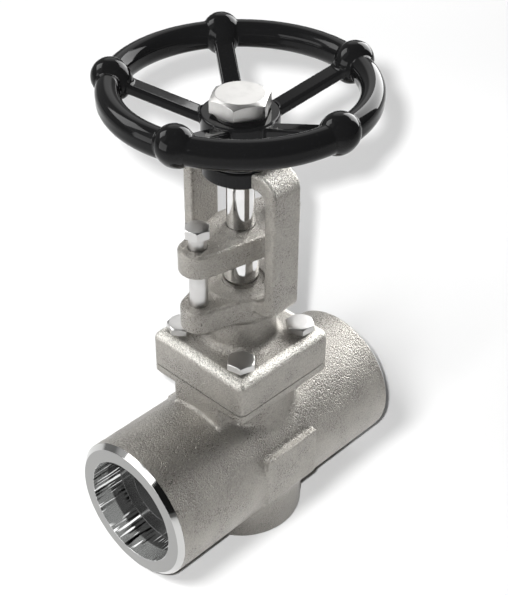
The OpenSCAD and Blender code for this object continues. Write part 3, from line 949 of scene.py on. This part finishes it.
@dataclass
class ValveBody:
    """The body forging and its two turned ends."""

    end_x: float = 60.0
    chamfer: float = 2.0
    run_r: float = 28.5
    axis_z: float = 33.0
    socket_r: float = 21.35
    socket_depth: float = 13.5
    socket_edge: float = 0.18
    port_r: float = 13.0
    barrel_r: float = 21.0
    barrel_fillet: float = 2.2
    half_flange: float = 24.1
    corner_r: float = 2.8
    block_half: float = 12.4
    block_corner: float = 1.2
    block_fillet: float = 1.6
    joint_z: float = 71.80
    lip_z: float = 68.4
    lip_deep: float = 8.0
    lip_core: float = 14.0
    lip_slope: float = 30.0
    lip_edge: float = 0.8
    lip_fillet: float = 1.8
    lip_fade: float = 3.0
    pad_half_w: float = 13.8
    pad_y: float = 28.5
    pad_low_z: float = 23.5
    pad_top_z: float = 45.0
    pad_end_z: float = 17.0
    pad_fall: tuple = (6.5, 5.0)
    pad_edge: float = 0.6
    pad_fillet: float = 0.8
    base_r: float = 24.8
    base_edge: float = 1.4
    base_fillet: float = 2.0
    chamber_r: float = 16.5
    chamber_floor: float = 16.0
    rib_y: float = 14.0
    rib_half: float = 2.0
    recess_r: float = 19.05
    recess_z: float = 70.6
    seat_pocket_r: float = 15.05
    seat_depth: float = 18.0
    bolt_at: float = 16.0
    bolt_hole_r: float = 3.05
    liner_r: float = 14.2
    collar_r: float = 23.6
    collar_x: float = 45.0
    gap: float = 0.02

    def forging(self, x: Array, y: Array, z: Array) -> Array:
        """The forging as a field: run, block, barrel, lip, pads and boss, filleted, less its bores.

        Args:
            x: coordinate along the pipe.
            y: coordinate across it.
            z: height.

        Returns:
            The distance. The lip's underside is a plane that falls by lip_slope towards the core, and
            the pads' lower face falls back by pad_fall. The lip's fillet fades towards its rim.
        """
        pipe, post = np.hypot(y, z - self.axis_z), np.hypot(x, y)
        reach_x, reach_y = np.abs(x), np.abs(y)
        reach = np.maximum(reach_x, reach_y)
        run = keep(pipe - self.run_r, reach_x - (self.end_x - self.chamfer))
        rise_z = slab(z, self.axis_z, self.lip_z + 1)
        block = keep(oblong(x, y, self.half_flange, self.block_half, self.block_corner), rise_z)
        barrel = keep(post - self.barrel_r, rise_z)
        fall = math.radians(self.lip_slope)
        foot_z = self.lip_z - (self.half_flange - self.lip_core) * math.tan(fall)
        under = (reach - self.lip_core) * math.sin(fall) - (z - foot_z) * math.cos(fall)
        plate = oblong(x, y, self.half_flange, self.half_flange, self.corner_r)
        lip = keep(round_off(plate, under, self.lip_edge), z - self.joint_z, self.lip_z - self.lip_deep - z)
        down, back = self.pad_fall
        pad_side = ((reach_y - self.pad_y) * down - (z - self.pad_low_z) * back) / math.hypot(down, back)
        pad_face = round_off(reach_y - self.pad_y, keep(z - self.pad_top_z, pad_side), self.pad_edge)
        pads = round_off(keep(pad_face, self.pad_end_z - z), reach_x - self.pad_half_w, self.pad_edge)
        boss = keep(round_off(post - self.base_r, -z, self.base_edge), z - self.axis_z)
        fade = np.clip((self.half_flange - reach) / self.lip_fade, 0.01, 1)
        form = filleted(
            run, (block, self.block_fillet), (barrel, self.barrel_fillet), (lip, self.lip_fillet * fade),
            (pads, self.pad_fillet), (boss, self.base_fillet),
        )
        bores = join(
            pipe - (self.liner_r + self.gap),
            keep(pipe - self.seat_pocket_r, reach_x - self.seat_depth),
            keep(pipe - (self.collar_r + self.gap), (self.collar_x - self.gap) - reach_x),
        )
        ribs = keep(slab(x, -self.rib_half, self.rib_half), self.rib_y - reach_y)
        chamber = keep(post - self.chamber_r, self.chamber_floor - z, -ribs)
        recess = keep(post - self.recess_r, self.recess_z - z)
        holes = keep(
            rod(reach_x - self.bolt_at, reach_y - self.bolt_at, self.bolt_hole_r),
            self.axis_z + self.run_r - z,
        )
        return keep(form, z - self.joint_z, -z, -join(bores, chamber, recess, holes))

    def make_forging(self, finishes: Finishes) -> None:
        """Skins the field on a grid that is finer between the ends.

        Args:
            finishes: the finishes.
        """
        end, fine, coarse = self.end_x - self.chamfer + 1.3, 0.72, 1.6
        grid = (
            steps((-end, 0), (-57, 0.9), (-32, coarse), (32, fine), (57, coarse), (end, 0.9)),
            steps((-31, 0), (31, fine)),
            steps((-1.2, 0), (74, fine)),
        )
        piece = skinned_piece(
            "body_forging", self.forging, grid, finishes.forged, Body.VALVE, Slot.FORGED, "body",
        )
        # painted highlight on the body forging's broad upward edges
        painted_edge_highlights(piece, self.forging, across=0.4)

    def make_end(self, name: str, side: int, finishes: Finishes) -> None:
        """One turned end: chamfer, face, socket, shoulder and port, on the pipe axis.

        Args:
            name: the piece's name.
            side: -1 for the front end, 1 for the rear.
            finishes: the finishes.
        """
        shoulder, low = self.end_x - self.socket_depth, self.end_x - self.chamfer + 0.01
        port_end = self.seat_depth + 0.05
        profile = soften([
            (self.port_r, port_end), (self.liner_r, port_end), (self.liner_r, self.collar_x),
            (self.collar_r, self.collar_x), (self.collar_r, low), (self.run_r, low),
            (self.run_r - self.chamfer, self.end_x), (self.socket_r, self.end_x), (self.socket_r, shoulder),
            (self.port_r, shoulder),
        ], self.socket_edge, closed=True)
        points, faces = lathe(profile, closed=True, segments=192)
        points = np.stack([points[:, 2] * side, points[:, 0] * side, points[:, 1] + self.axis_z], axis=1)
        turned_piece(name, (points, faces), TURNED_SHARP, finishes.ends, Body.VALVE, Slot.FORGED)

    def build(self, finishes: Finishes) -> None:
        """Makes the three pieces.

        Args:
            finishes: the finishes.
        """
        self.make_forging(finishes)
        self.make_end("end_front", -1, finishes)
        self.make_end("end_rear", 1, finishes)


@dataclass
class Bonnet:
    """The bonnet forging: square flange, neck, lugs and the yoke.

    Its bores are (radius, from height, to height), on the stem's axis.
    """

    half_flange: float = 24.1
    corner_r: float = 2.8
    top_round: float = 3.6
    joint_z: float = 72.18
    flange_top: float = 87.0
    neck_r: float = 13.7
    neck_fillet: float = 3.2
    lug_x: float = 21.5
    lug_r: float = 6.9
    lug_low: float = 101.5
    lug_top: float = 111.5
    lug_edge: float = 1.5
    lug_fillet: float = 2.5
    lug_hole_r: float = 3.4
    arm_half: float = 6.9
    arm_out: float = 23.0
    arm_in: float = 18.0
    arm_edge: float = 1.4
    yoke_foot: float = 106.0
    yoke_top: float = 164.5
    yoke_corner: float = 7.5
    yoke_fillet: float = 1.5
    foot_corner: float = 5.0
    window_low: float = 111.5
    window_top: float = 158.0
    window_corner: float = 4.0
    bores: tuple = (
        (14.5, 0.0, 82.0), (8.55, 0.0, 89.0), (5.75, 0.0, 93.0), (9.0, 92.0, 113.0), (13.9, 157.0, 999.0),
    )
    bolt_at: float = 16.0
    bolt_hole_r: float = 3.3
    bolt_room_r: float = 6.6
    bolt_room_top: float = 100.0
    step: float = 0.5

    def forging(self, x: Array, y: Array, z: Array) -> Array:
        """The forging as a field: flange, neck, lugs and yoke, filleted, less its bores.

        Args:
            x: coordinate along the pipe and the line of the lugs.
            y: coordinate along the line of the yoke's arms.
            z: height.

        Returns:
            The distance.
        """
        post, reach_x = np.hypot(x, y), np.abs(x)
        plate = oblong(x, y, self.half_flange, self.half_flange, self.corner_r)
        flange = round_off(plate, z - self.flange_top, self.top_round)
        neck = keep(post - self.neck_r, z - self.lug_top)
        ears = oval(x, y, self.lug_x, self.lug_r, self.neck_r)
        lugs = round_off(ears, slab(z, self.lug_low, self.lug_top), self.lug_edge)
        middle, half = (self.yoke_foot + self.yoke_top) / 2, (self.yoke_top - self.yoke_foot) / 2
        top, foot = (
            oblong(y, z - middle, self.arm_out, half, corner)
            for corner in (self.yoke_corner, self.foot_corner)
        )
        window = oblong(
            y, z - (self.window_low + self.window_top) / 2, self.arm_in,
            (self.window_top - self.window_low) / 2, self.window_corner,
        )
        outline = keep(np.where(z > middle, top, foot), -window)
        yoke = round_off(outline, reach_x - self.arm_half, self.arm_edge)
        form = filleted(flange, (neck, self.neck_fillet), (lugs, self.lug_fillet), (yoke, self.yoke_fillet))
        corner = np.hypot(reach_x - self.bolt_at, np.abs(y) - self.bolt_at)
        holes = join(
            *(keep(post - radius, low - z, z - high) for radius, low, high in self.bores),
            keep(corner - self.bolt_hole_r, z - self.flange_top - 1),
            keep(corner - self.bolt_room_r, self.flange_top - z, z - self.bolt_room_top),
            keep(np.hypot(reach_x - self.lug_x, y) - self.lug_hole_r, slab(z, 95.0, 118.0)),
        )
        return keep(form, self.joint_z - z, -holes)

    def build(self, finishes: Finishes) -> None:
        """Skins the field: the yoke is as fine as the flange.

        Args:
            finishes: the finishes.
        """
        fine = self.step
        grid = (
            steps((-30.2, 0), (30.2, fine)), steps((-25.3, 0), (25.3, fine)),
            steps((71, 0), (113, fine), (155, fine * 1.4), (166, fine)),
        )
        piece = skinned_piece(
            "bonnet_forging", self.forging, grid, finishes.forged, Body.VALVE, Slot.FORGED, "bonnet",
        )
        # painted highlight on the bonnet forging's broad upward edges
        painted_edge_highlights(piece, self.forging, most=1.0, spare=(95.0, 145.0))


@dataclass(frozen=True)
class HexHead:
    """The head of a hexagon bolt or a closed nut, its top corners turned off on a cone."""

    across_flats: float
    height: float
    turned: float = 0.0
    cone: float = 30.0
    crown: float = 0.965
    foot_r: float = 0.0
    foot_h: float = 0.0
    edge: float = 0.12

    def surface(self, floor_r: float) -> tuple[Array, Array]:
        """The head's surface, its underside at height 0.

        Args:
            floor_r: radius where the underside stops and the shank begins.

        Returns:
            A grid over angle and ring. The wall stands at the hexagon's radius R, over a round foot if
            there is one. The cone cuts it at height h - (R - r) tan(cone), r being the top circle's
            radius, and runs in to that circle.
        """
        angle = np.radians(np.arange(0, 360, 2.5))
        wall = hexagon_radius(angle, self.across_flats)
        crown = self.across_flats / 2 * self.crown
        brim = self.height - (wall - crown) * math.tan(math.radians(self.cone))
        edge, top, foot_h = self.edge, self.height, self.foot_h
        foot = [(self.foot_r, 0.0), (self.foot_r, foot_h)] if foot_h else []
        rings = [
            (floor_r, 0.0), *foot, (wall - edge, foot_h), (wall, foot_h + edge), (wall, brim - edge),
            (wall - edge * 0.7, brim + edge * 0.2), (crown + edge, top - edge * 0.55), (crown - edge, top),
            (crown * 0.5, top), (0.0, top),
        ]
        flat = np.ones_like(wall)
        radius, height = (np.stack([flat * ring[k] for ring in rings], axis=1) for k in (0, 1))
        points = polar(radius, angle[:, None] + math.radians(self.turned), height)
        return points.reshape(-1, 3), grid_faces(len(angle), len(rings), closed=False)


@dataclass
class Bolt:
    """A hexagon bolt: head and shank."""

    name: str
    node: str
    at: tuple[float, float]
    seat_z: float
    head: HexHead
    shank_r: float
    length: float
    tip: float = 0.8
    edge: float = 0.15

    def build(self, finishes: Finishes) -> None:
        """Head and shank as one closed piece.

        Args:
            finishes: the finishes.
        """
        shank = soften([
            (0.0, -self.length), (self.shank_r - self.tip, -self.length),
            (self.shank_r, self.tip - self.length), (self.shank_r, 0.0),
        ], self.edge, closed=False)
        points, faces = merged(self.head.surface(self.shank_r), lathe(shank, closed=False, segments=144))
        points = points + np.array([*self.at, self.seat_z])
        turned_piece(
            self.name, (points, faces), HEXAGON_SHARP, finishes.satin, Body.VALVE, Slot.POLISHED, self.node,
        )


@dataclass
class Gland:
    """Gland flange, its follower and the two gland bolts; heights along the stem."""

    lug_x: float = 21.5
    end_r: float = 7.2
    mid_r: float = 12.0
    low_z: float = 126.1
    top_z: float = 135.9
    edge: float = 1.3
    stem_hole_r: float = 5.45
    pocket_r: float = 7.0
    pocket_z: float = 127.4
    bolt_hole_r: float = 3.6
    bolt_seat: float = 140.6
    tube: tuple = (5.35, 6.9, 107.5, 127.3)
    skirt: tuple = (6.95, 8.95, 107.5, 111.45)
    step: float = 0.5

    def flange(self, x: Array, y: Array, z: Array) -> Array:
        """The oval plate as a field, less its holes for the stem, the follower and the bolts.

        Args:
            x: coordinate along the line of the bolts.
            y: coordinate across it.
            z: height.

        Returns:
            The distance.
        """
        outline = oval(x, y, self.lug_x, self.end_r, self.mid_r)
        plate = round_off(outline, slab(z, self.low_z, self.top_z), self.edge)
        post = np.hypot(x, y)
        holes = join(
            post - self.stem_hole_r, keep(post - self.pocket_r, z - self.pocket_z),
            np.hypot(np.abs(x) - self.lug_x, y) - self.bolt_hole_r,
        )
        return keep(plate, -holes)

    def build(self, finishes: Finishes) -> None:
        """Makes the plate, the follower and the bolts.

        Args:
            finishes: the finishes.
        """
        grid = (
            steps((-30, 0), (30, self.step)), steps((-13.5, 0), (13.5, self.step)),
            steps((self.low_z - 1.2, 0), (self.top_z + 1.2, self.step)),
        )
        skinned_piece(
            "gland_flange_forging", self.flange, grid, finishes.forged, Body.VALVE, Slot.FORGED,
            "gland_flange",
        )
        for name, box, edge, material, nodes in (
            ("gland_follower", self.tube, 0.25, finishes.polished, ["gland_bush"]),
            ("gland_follower_skirt", self.skirt, 0.1, finishes.forged, []),
        ):
            ring = lathe(soften(box_profile(*box), edge, closed=True), closed=True, segments=128)
            turned_piece(name, ring, TURNED_SHARP, material, Body.VALVE, Slot.POLISHED, *nodes)
        for side, end in ((-1, "front"), (1, "rear")):
            Bolt(
                f"gland_stud_{end}", f"gland_bolt_{end}", (side * self.lug_x, 0.0), self.bolt_seat,
                HexHead(across_flats=8.6, height=3.8, turned=15.0), shank_r=3.35, length=38.1,
            ).build(finishes)


@dataclass
class Stem:
    """The polished stem with its tee head, collar and left-hand thread; profiles are (radius, height)."""

    shank: tuple = (
        (0.0, 71.7), (4.0, 71.7), (4.0, 80.1), (7.0, 80.1), (7.0, 81.4), (5.25, 83.15), (5.25, 154.3),
        (5.0, 154.5),
    )
    tip: tuple = ((5.0, 184.65), (4.2, 185.4), (0.0, 185.4))
    edge: float = 0.12
    thread_low: float = 154.55
    thread_top: float = 184.6
    thread_step: float = 0.1
    pitch: float = 2.0
    crest_r: float = 5.0
    root_r: float = 4.0
    segments: int = 96
    tee_r: float = 7.0
    tee_half: float = 5.1
    tee_low: float = 70.7
    tee_top: float = 74.7
    tee_edge: float = 0.3

    def thread(self) -> Array:
        """Rings of the thread.

        Returns:
            Points (angle, height, 3). The phase is height / pitch + angle / 360: a left-hand thread. The
            radius runs from crest to root as a trapezium of the phase, and fades in over a pitch.
        """
        angle = np.arange(self.segments) * (2 * np.pi / self.segments)
        height = np.arange(self.thread_low, self.thread_top, self.thread_step)
        phase = (height[None, :] / self.pitch + angle[:, None] / (2 * np.pi)) % 1.0
        depth = rise(np.abs(phase - 0.5) * 2, 0.30, 0.55)
        from_ends = (height - self.thread_low, self.thread_top - height)
        fade = math.prod(np.clip(far / self.pitch, 0, 1) for far in from_ends)
        radius = self.crest_r - (self.crest_r - self.root_r) * depth * fade[None, :]
        return polar(radius, angle[:, None], height)

    def tee(self, x: Array, y: Array, z: Array) -> Array:
        """The tee head as a field: a round plate with two flats."""
        plate = keep(np.hypot(x, y) - self.tee_r, np.abs(x) - self.tee_half)
        return round_off(plate, slab(z, self.tee_low, self.tee_top), self.tee_edge)

    def build(self, finishes: Finishes) -> None:
        """Turned shank and thread as one skin, and the tee head under it.

        Args:
            finishes: the finishes.
        """
        low, high = (
            lathe(soften(corners, self.edge, closed=False), closed=False, segments=self.segments)[0]
            .reshape(self.segments, -1, 3) for corners in (self.shank, self.tip)
        )
        grid = np.concatenate([low, self.thread(), high], axis=1)
        surface = grid.reshape(-1, 3), grid_faces(self.segments, grid.shape[1], closed=False)
        turned_piece(
            "stem_turned", surface, TURNED_SHARP, finishes.polished, Body.STEM, Slot.POLISHED, "stem",
        )
        across, up = steps((-8, 0), (8, 0.35)), steps((70, 0), (75.4, 0.3))
        points, faces = contour(self.tee, across + GRID_SHIFT[0], across + GRID_SHIFT[1], up + 0.011)
        head = put_mesh("stem_tee", points, faces, SKIN_SHARP)
        settle(head, finishes.turned_z, Body.STEM, Slot.POLISHED)


@dataclass
class YokeHead:
    """The black bush between the arms, the washers and the bronze stem nut.

    The boxes are inner radius, outer radius, lower and upper height; the nut is a profile.
    """

    bush: tuple = (8.05, 13.85, 158.5, 164.2)
    washer_lower: tuple = (8.15, 9.4, 157.75, 158.35)
    washer_upper: tuple = (8.15, 13.2, 164.35, 164.95)
    nut: tuple = (
        (5.06, 154.5), (6.8, 154.5), (6.8, 155.6), (9.4, 155.6), (9.4, 157.6), (8.0, 157.6),
        (8.0, 165.0), (7.45, 165.0), (7.45, 180.1), (7.0, 180.1), (7.0, 185.6), (5.06, 185.6),
    )

    def build(self, finishes: Finishes) -> None:
        """Makes the rings from the bush outwards.

        Args:
            finishes: the finishes.
        """
        black, oiled, valve = finishes.enamel, finishes.oiled, Body.VALVE
        lower, upper = box_profile(*self.washer_lower), box_profile(*self.washer_upper)
        for name, corners, edge, *rest in (
            ("yoke_bush_black", box_profile(*self.bush), 0.5, black, valve, Slot.ENAMEL, "yoke_bush"),
            ("washer_lower", lower, 0.12, oiled, valve, Slot.MACHINED, "thrust_washer_lower"),
            ("washer_upper", upper, 0.12, oiled, valve, Slot.MACHINED, "thrust_washer_upper"),
            ("stem_nut", self.nut, 0.2, finishes.oiled_bronze, Body.WHEEL, Slot.BRONZE, "yoke_nut"),
        ):
            ring = lathe(soften(corners, edge, closed=True), closed=True, segments=160)
            turned_piece(name, ring, TURNED_SHARP, *rest)


@dataclass
class Handwheel:
    """The black wheel: rim with five knots, flat spokes and hub."""

    rim_r: float = 44.7
    rim_tube: float = 4.3
    rim_tall: float = 0.8
    rim_z: float = 189.8
    knot_r: float = 6.8
    knot_at: float = 45.0
    knot_z: float = 191.0
    lobe_r: float = 6.5
    lobe_in: float = 1.4
    lobe_drop: float = 2.0
    lobe_fillet: float = 1.0
    knot_fillet: float = 0.4
    spokes: int = 5
    first: float = 53.5
    spoke_half_w: float = 3.45
    spoke_half_t: float = 1.8
    spoke_corner: float = 1.0
    spoke_slope: float = 19.8
    spoke_top: float = 181.0
    spoke_from: float = 11.0
    spoke_fillet: float = 0.7
    hub_r: float = 13.9
    hub_low: float = 165.1
    hub_top: float = 181.6
    hub_edge: float = 0.8
    hub_fillet: float = 0.8
    bore_r: float = 7.5
    step: float = 0.46

    def form(self, x: Array, y: Array, z: Array) -> Array:
        """The wheel as a field: the nearest spoke is found by turning each point into one sector.

        Args:
            x: coordinate across the axis, along the pipe.
            y: coordinate across the axis and the pipe.
            z: height.

        Returns:
            The distance. Along and across are a point's coordinates in its sector, and reach and rise
            are those in the sloping spoke.
        """
        post = np.hypot(x, y)
        sector = 2 * np.pi / self.spokes
        angle = np.arctan2(y, x) - math.radians(self.first)
        angle = (angle + sector / 2) % sector - sector / 2
        along, across = post * np.cos(angle), post * np.sin(angle)
        tall = np.maximum(np.abs(z - self.rim_z) - self.rim_tall, 0)
        rim = np.hypot(post - self.rim_r, tall) - self.rim_tube
        out, up = along - self.knot_at, z - self.knot_z
        knot = ball(out, across, up, self.knot_r)
        lobe = ball(out + self.lobe_in, across, up + self.lobe_drop, self.lobe_r)
        slant = math.radians(self.spoke_slope)
        start_z = self.spoke_top - self.spoke_half_t - (self.hub_r - self.spoke_from) * math.tan(slant)
        reach = (along - self.spoke_from) * math.cos(slant) + (z - start_z) * math.sin(slant)
        lift = (z - start_z) * math.cos(slant) - (along - self.spoke_from) * math.sin(slant)
        length = (self.knot_at - self.lobe_in - self.spoke_from) / math.cos(slant)
        bar = oblong(across, lift, self.spoke_half_w, self.spoke_half_t, self.spoke_corner)
        spoke = keep(bar, slab(reach, 0.0, length))
        hub = round_off(post - self.hub_r, slab(z, self.hub_low, self.hub_top), self.hub_edge)
        form = filleted(
            rim, (fillet(knot, lobe, self.lobe_fillet), self.knot_fillet), (spoke, self.spoke_fillet),
            (hub, self.hub_fillet),
        )
        return keep(form, self.bore_r - post)

    def build(self, finishes: Finishes) -> None:
        """Skins the field.

        Args:
            finishes: the finishes.
        """
        half = self.rim_r + self.rim_tube + 3.0
        across = steps((-half, 0), (half, self.step))
        up = steps((self.hub_low - 1, 0), (self.knot_z + self.knot_r + 1, self.step))
        skinned_piece(
            "handwheel_enamel", self.form, (across, across, up), finishes.enamel, Body.WHEEL, Slot.ENAMEL,
            "handwheel",
        )


@dataclass
class CapNut:
    """The closed hexagon nut on the hub, hollow for the end of the stem."""

    seat_z: float = 181.6
    room_r: float = 7.05
    room_top: float = 185.9
    head: HexHead = HexHead(across_flats=19.5, height=6.9, turned=2.7, crown=0.887, foot_r=9.45, foot_h=1.0)

    def build(self, finishes: Finishes) -> None:
        """Outer skin as a bolt head's, closed by the room inside.

        Args:
            finishes: the finishes.
        """
        tall = self.room_top - self.seat_z
        room = np.array([(0.0, tall), (self.room_r, tall), (self.room_r, 0.0)])
        points, faces = merged(self.head.surface(self.room_r), lathe(room, closed=False, segments=144))
        points = points + np.array([0, 0, self.seat_z])
        turned_piece(
            "wheel_cap_nut", (points, faces), HEXAGON_SHARP, finishes.pale, Body.WHEEL, Slot.POLISHED,
            "wheel_nut",
        )


class Inside:
    """The CAD nodes that keep their own shape, with their finishes."""

    def build(self, finishes: Finishes) -> None:
        """Dresses each node by its place in the valve.

        Args:
            finishes: the finishes.
        """
        wanted = {
            "seat_ring_front": finishes.turned_x, "seat_ring_rear": finishes.turned_x,
            "wedge": finishes.turned_z, "bonnet_gasket": finishes.graphite,
            "backseat_bush": finishes.bronze, "wheel_key": finishes.turned_z,
        }
        wanted.update({f"packing_ring_{i}": finishes.graphite for i in range(1, 6)})
        for name, material in wanted.items():
            node = frame["nodes"][name]
            for shown in [node, *node.children_recursive]:
                if shown.type == "MESH":
                    dress(shown, material)
            LOG.info("%s: dressed", name)


# ---------------------------------------------------------------------------------------------
# Studio.


@dataclass
class Studio:
    """Camera, lamps, floor and world; places in millimetres, angles in degrees."""

    eye: tuple = (-276.23, -273.02, 388.52)
    azimuth: float = -46.062
    elevation: float = 34.775
    roll: float = 0.323
    lens: float = 77.5
    shift_y: float = -0.06
    middle: tuple = (0.0, 0.0, 90.0)
    panel_far: float = 700.0
    floor_half: float = 3000.0
    floor_z: float = -0.15
    floor_near: float = 0.575
    floor_far: float = 0.73

    def axes(self) -> tuple[Vector, Vector, Vector]:
        """The camera's directions before its roll.

        Returns:
            Right, up and back.
        """
        a, e = math.radians(self.azimuth), math.radians(self.elevation)
        back = Vector((math.sin(a) * math.cos(e), -math.cos(a) * math.cos(e), math.sin(e)))
        right = Vector((math.cos(a), math.sin(a), 0.0))
        return right, back.cross(right), back

    def camera(self) -> None:
        """A camera at the photograph's viewing angle."""
        right, up, back = self.axes()
        roll = math.radians(self.roll)
        side = right * math.cos(roll) + up * math.sin(roll)
        top = up * math.cos(roll) - right * math.sin(roll)
        data = bpy.data.cameras.new("camera")
        data.lens, data.sensor_width, data.sensor_fit = self.lens, 36.0, "AUTO"
        data.shift_y = self.shift_y
        data.clip_start, data.clip_end = 0.01, 20.0
        camera = put_object("camera", data)
        turned = Matrix((side, top, back)).transposed().to_4x4()
        camera.matrix_world = Matrix.Translation(Vector(self.eye) * MM) @ turned
        bpy.context.scene.camera = camera

    def panel(self, name: str, azimuth: float, elevation: float, size: tuple, glow: float) -> None:
        """One soft panel that the metal reflects.

        Args:
            name: the lamp's name.
            azimuth: direction from the valve's middle, in degrees from +X towards +Y.
            elevation: degrees above the level.
            size: width and height in millimetres.
            glow: its brightness, 1 being the white of the floor.
        """
        a, e = math.radians(azimuth), math.radians(elevation)
        middle = Vector(self.middle)
        aim = Vector((math.cos(a) * math.cos(e), math.sin(a) * math.cos(e), math.sin(e)))
        place = middle + self.panel_far * aim
        data = bpy.data.lights.new(name, "AREA")
        data.shape, data.size, data.size_y = "RECTANGLE", size[0] * MM, size[1] * MM
        data.energy = math.pi * glow * size[0] * size[1] * MM * MM
        lamp = put_object(name, data)
        turned = (middle - place).to_track_quat("-Z", "Y").to_matrix().to_4x4()
        lamp.matrix_world = Matrix.Translation(place * MM) @ turned
        lamp.visible_diffuse = False

    def shade_lamp(
        self, name: str, left: float, over: float, wide: float, power: float, shaded_by: Sequence[str] = (),
    ) -> None:
        """A round lamp beside the camera; it lights only dull surfaces, and casts the shadow on the floor.

        Args:
            name: the lamp's name.
            left: millimetres to the left of the camera.
            over: millimetres above the camera.
            wide: its diameter in millimetres.
            power: watts; the light doesn't fade with distance.
            shaded_by: names of the only pieces that cast a shadow in its light; none for all.
        """
        right, up, back = self.axes()
        place = Vector(self.eye) - right * left + up * over
        data = bpy.data.lights.new(name, "AREA")
        data.shape, data.size = "DISK", wide * MM
        data.energy = power
        data.use_nodes = True
        g = Graph(data.node_tree)
        even = g.node("ShaderNodeLightFalloff", {"Strength": 1.0, "Smooth": 0.0}, "Constant")
        glow = g.node("ShaderNodeEmission", {"Color": (1.0, 1.0, 1.0), "Strength": even})
        g.node("ShaderNodeOutputLight", {"Surface": glow})
        lamp = put_object(name, data)
        lamp.matrix_world = Matrix.Translation(place * MM) @ back.to_track_quat("Z", "Y").to_matrix().to_4x4()
        lamp.visible_glossy = False
        if shaded_by:
            pieces = bpy.data.collections.new(f"{name}_pieces")
            for piece in shaded_by:
                pieces.objects.link(bpy.data.objects[piece])
            lamp.light_linking.blocker_collection = pieces

    def floor(self) -> None:
        """A wide pale floor; to the camera it is white, less the object's shadow.

        It glows to the camera away from the valve, where the lamps don't reach: a little behind it as
        the camera sees it, and fully in front and to the sides.
        """
        half = self.floor_half
        corners = np.array([(-half, -half, 0), (half, -half, 0), (half, half, 0), (-half, half, 0)], float)
        corners = corners + np.array([0, 0, self.floor_z])
        floor = put_mesh("floor", corners, np.array([[0, 1, 2, 3]]), TURNED_SHARP)
        material, g, place = start_material("floor_white")
        behind, before = g.dot(place, (0.72, 0.69, 0.0)), g.dot(place, (-0.72, -0.69, 0.0))
        aside = g.dot(place, (0.69, -0.72, 0.0))
        pale = behind.ramp(0.35, 0.85) * 0.35 + before.ramp(0.12, 0.55) * 0.9
        pale = pale + (aside * aside).ramp(0.05, 0.3) * 0.9
        shade = g.colour_mix(behind.ramp(0.03, 0.35), (self.floor_near,) * 3, (self.floor_far,) * 3)
        plain = g.node("ShaderNodeBsdfDiffuse", {"Color": shade})
        seen, mirrored = (g.node("ShaderNodeLightPath", out=f"Is {ray} Ray") for ray in ("Camera", "Glossy"))
        glow = g.node("ShaderNodeEmission", {"Color": (1.0, 1.0, 1.0), "Strength": seen * pale + 0.01})
        both = g.node("ShaderNodeAddShader", {0: plain, 1: glow})
        mixed = g.node("ShaderNodeMixShader", {0: (seen + mirrored).clipped(), 1: plain, 2: both})
        g.node("ShaderNodeOutputMaterial", {"Surface": mixed})
        dress(floor, material)

    def world(self) -> None:
        """White to the camera; for light and reflections, a dark room that pales behind the valve."""
        world = bpy.data.worlds.new("studio")
        bpy.context.scene.world = world
        world.use_nodes = True
        g = Graph(world.node_tree)
        direction = g.node("ShaderNodeTexCoord", out="Object")
        away = g.dot(direction, (0.55, 0.83, 0.0))
        high = g.dot(direction, (0.589, 0.569, 0.574))
        side = g.dot(direction, (-0.569, 0.589, 0.574))
        dim = g.colour_mix(away.ramp(-0.3, 0.8), (0.012, 0.012, 0.012), (0.26, 0.26, 0.26))
        dim = g.colour_mix(side.ramp(0.90, 0.97), dim, (0.55, 0.55, 0.55))
        dim = g.colour_mix(high.ramp(0.915, 0.978), dim, (1.15, 1.15, 1.15))
        room = g.node("ShaderNodeBackground", {"Color": dim, "Strength": 1.0})
        white = g.node("ShaderNodeBackground", {"Color": (1.0, 1.0, 1.0), "Strength": 1.0})
        path = g.node("ShaderNodeLightPath", out="Is Camera Ray")
        mixed = g.node("ShaderNodeMixShader", {0: path, 1: room, 2: white})
        g.node("ShaderNodeOutputWorld", {"Surface": mixed})

    def build(self) -> None:
        """Sets the whole studio."""
        self.camera()
        self.panel("panel_rear", azimuth=4.0, elevation=26.0, size=(482.0, 551.0), glow=7.6)
        self.panel("panel_front", azimuth=164.0, elevation=13.0, size=(560.0, 380.0), glow=3.6)
        self.panel("panel_left", azimuth=114.0, elevation=42.0, size=(300.0, 300.0), glow=6.0)
        self.shade_lamp("shade_near", left=16.0, over=16.0, wide=13.0, power=12.6)
        self.shade_lamp(
            "shade_low", left=165.0, over=155.0, wide=185.0, power=10.9,
            shaded_by=("body_forging", "bonnet_forging"),
        )
        self.floor()
        self.world()
        bpy.context.scene.view_settings.view_transform = "Standard"
        LOG.info("studio: set")


def main() -> None:
    """Builds the pieces in order, then the studio."""
    logging.basicConfig(level=logging.INFO, format="%(name)s: %(message)s")
    finishes = Finishes()
    body, bonnet = ValveBody(), Bonnet()
    bolts = [
        Bolt(
            f"bonnet_screw_{number}", f"bonnet_bolt_{number}",
            (side_x * bonnet.bolt_at, side_y * bonnet.bolt_at), bonnet.flange_top,
            HexHead(across_flats=10.0, height=4.0, turned=12.0 * number, foot_r=3.9, foot_h=1.0),
            shank_r=3.0, length=21.0,
        )
        for number, (side_x, side_y) in enumerate(((-1, -1), (1, -1), (-1, 1), (1, 1)), start=1)
    ]
    for part in (body, bonnet, *bolts, Gland(), Stem(), YokeHead(), Handwheel(), CapNut(), Inside()):
        part.build(finishes)
    Studio().build()


if __name__ == "__main__":
    main()
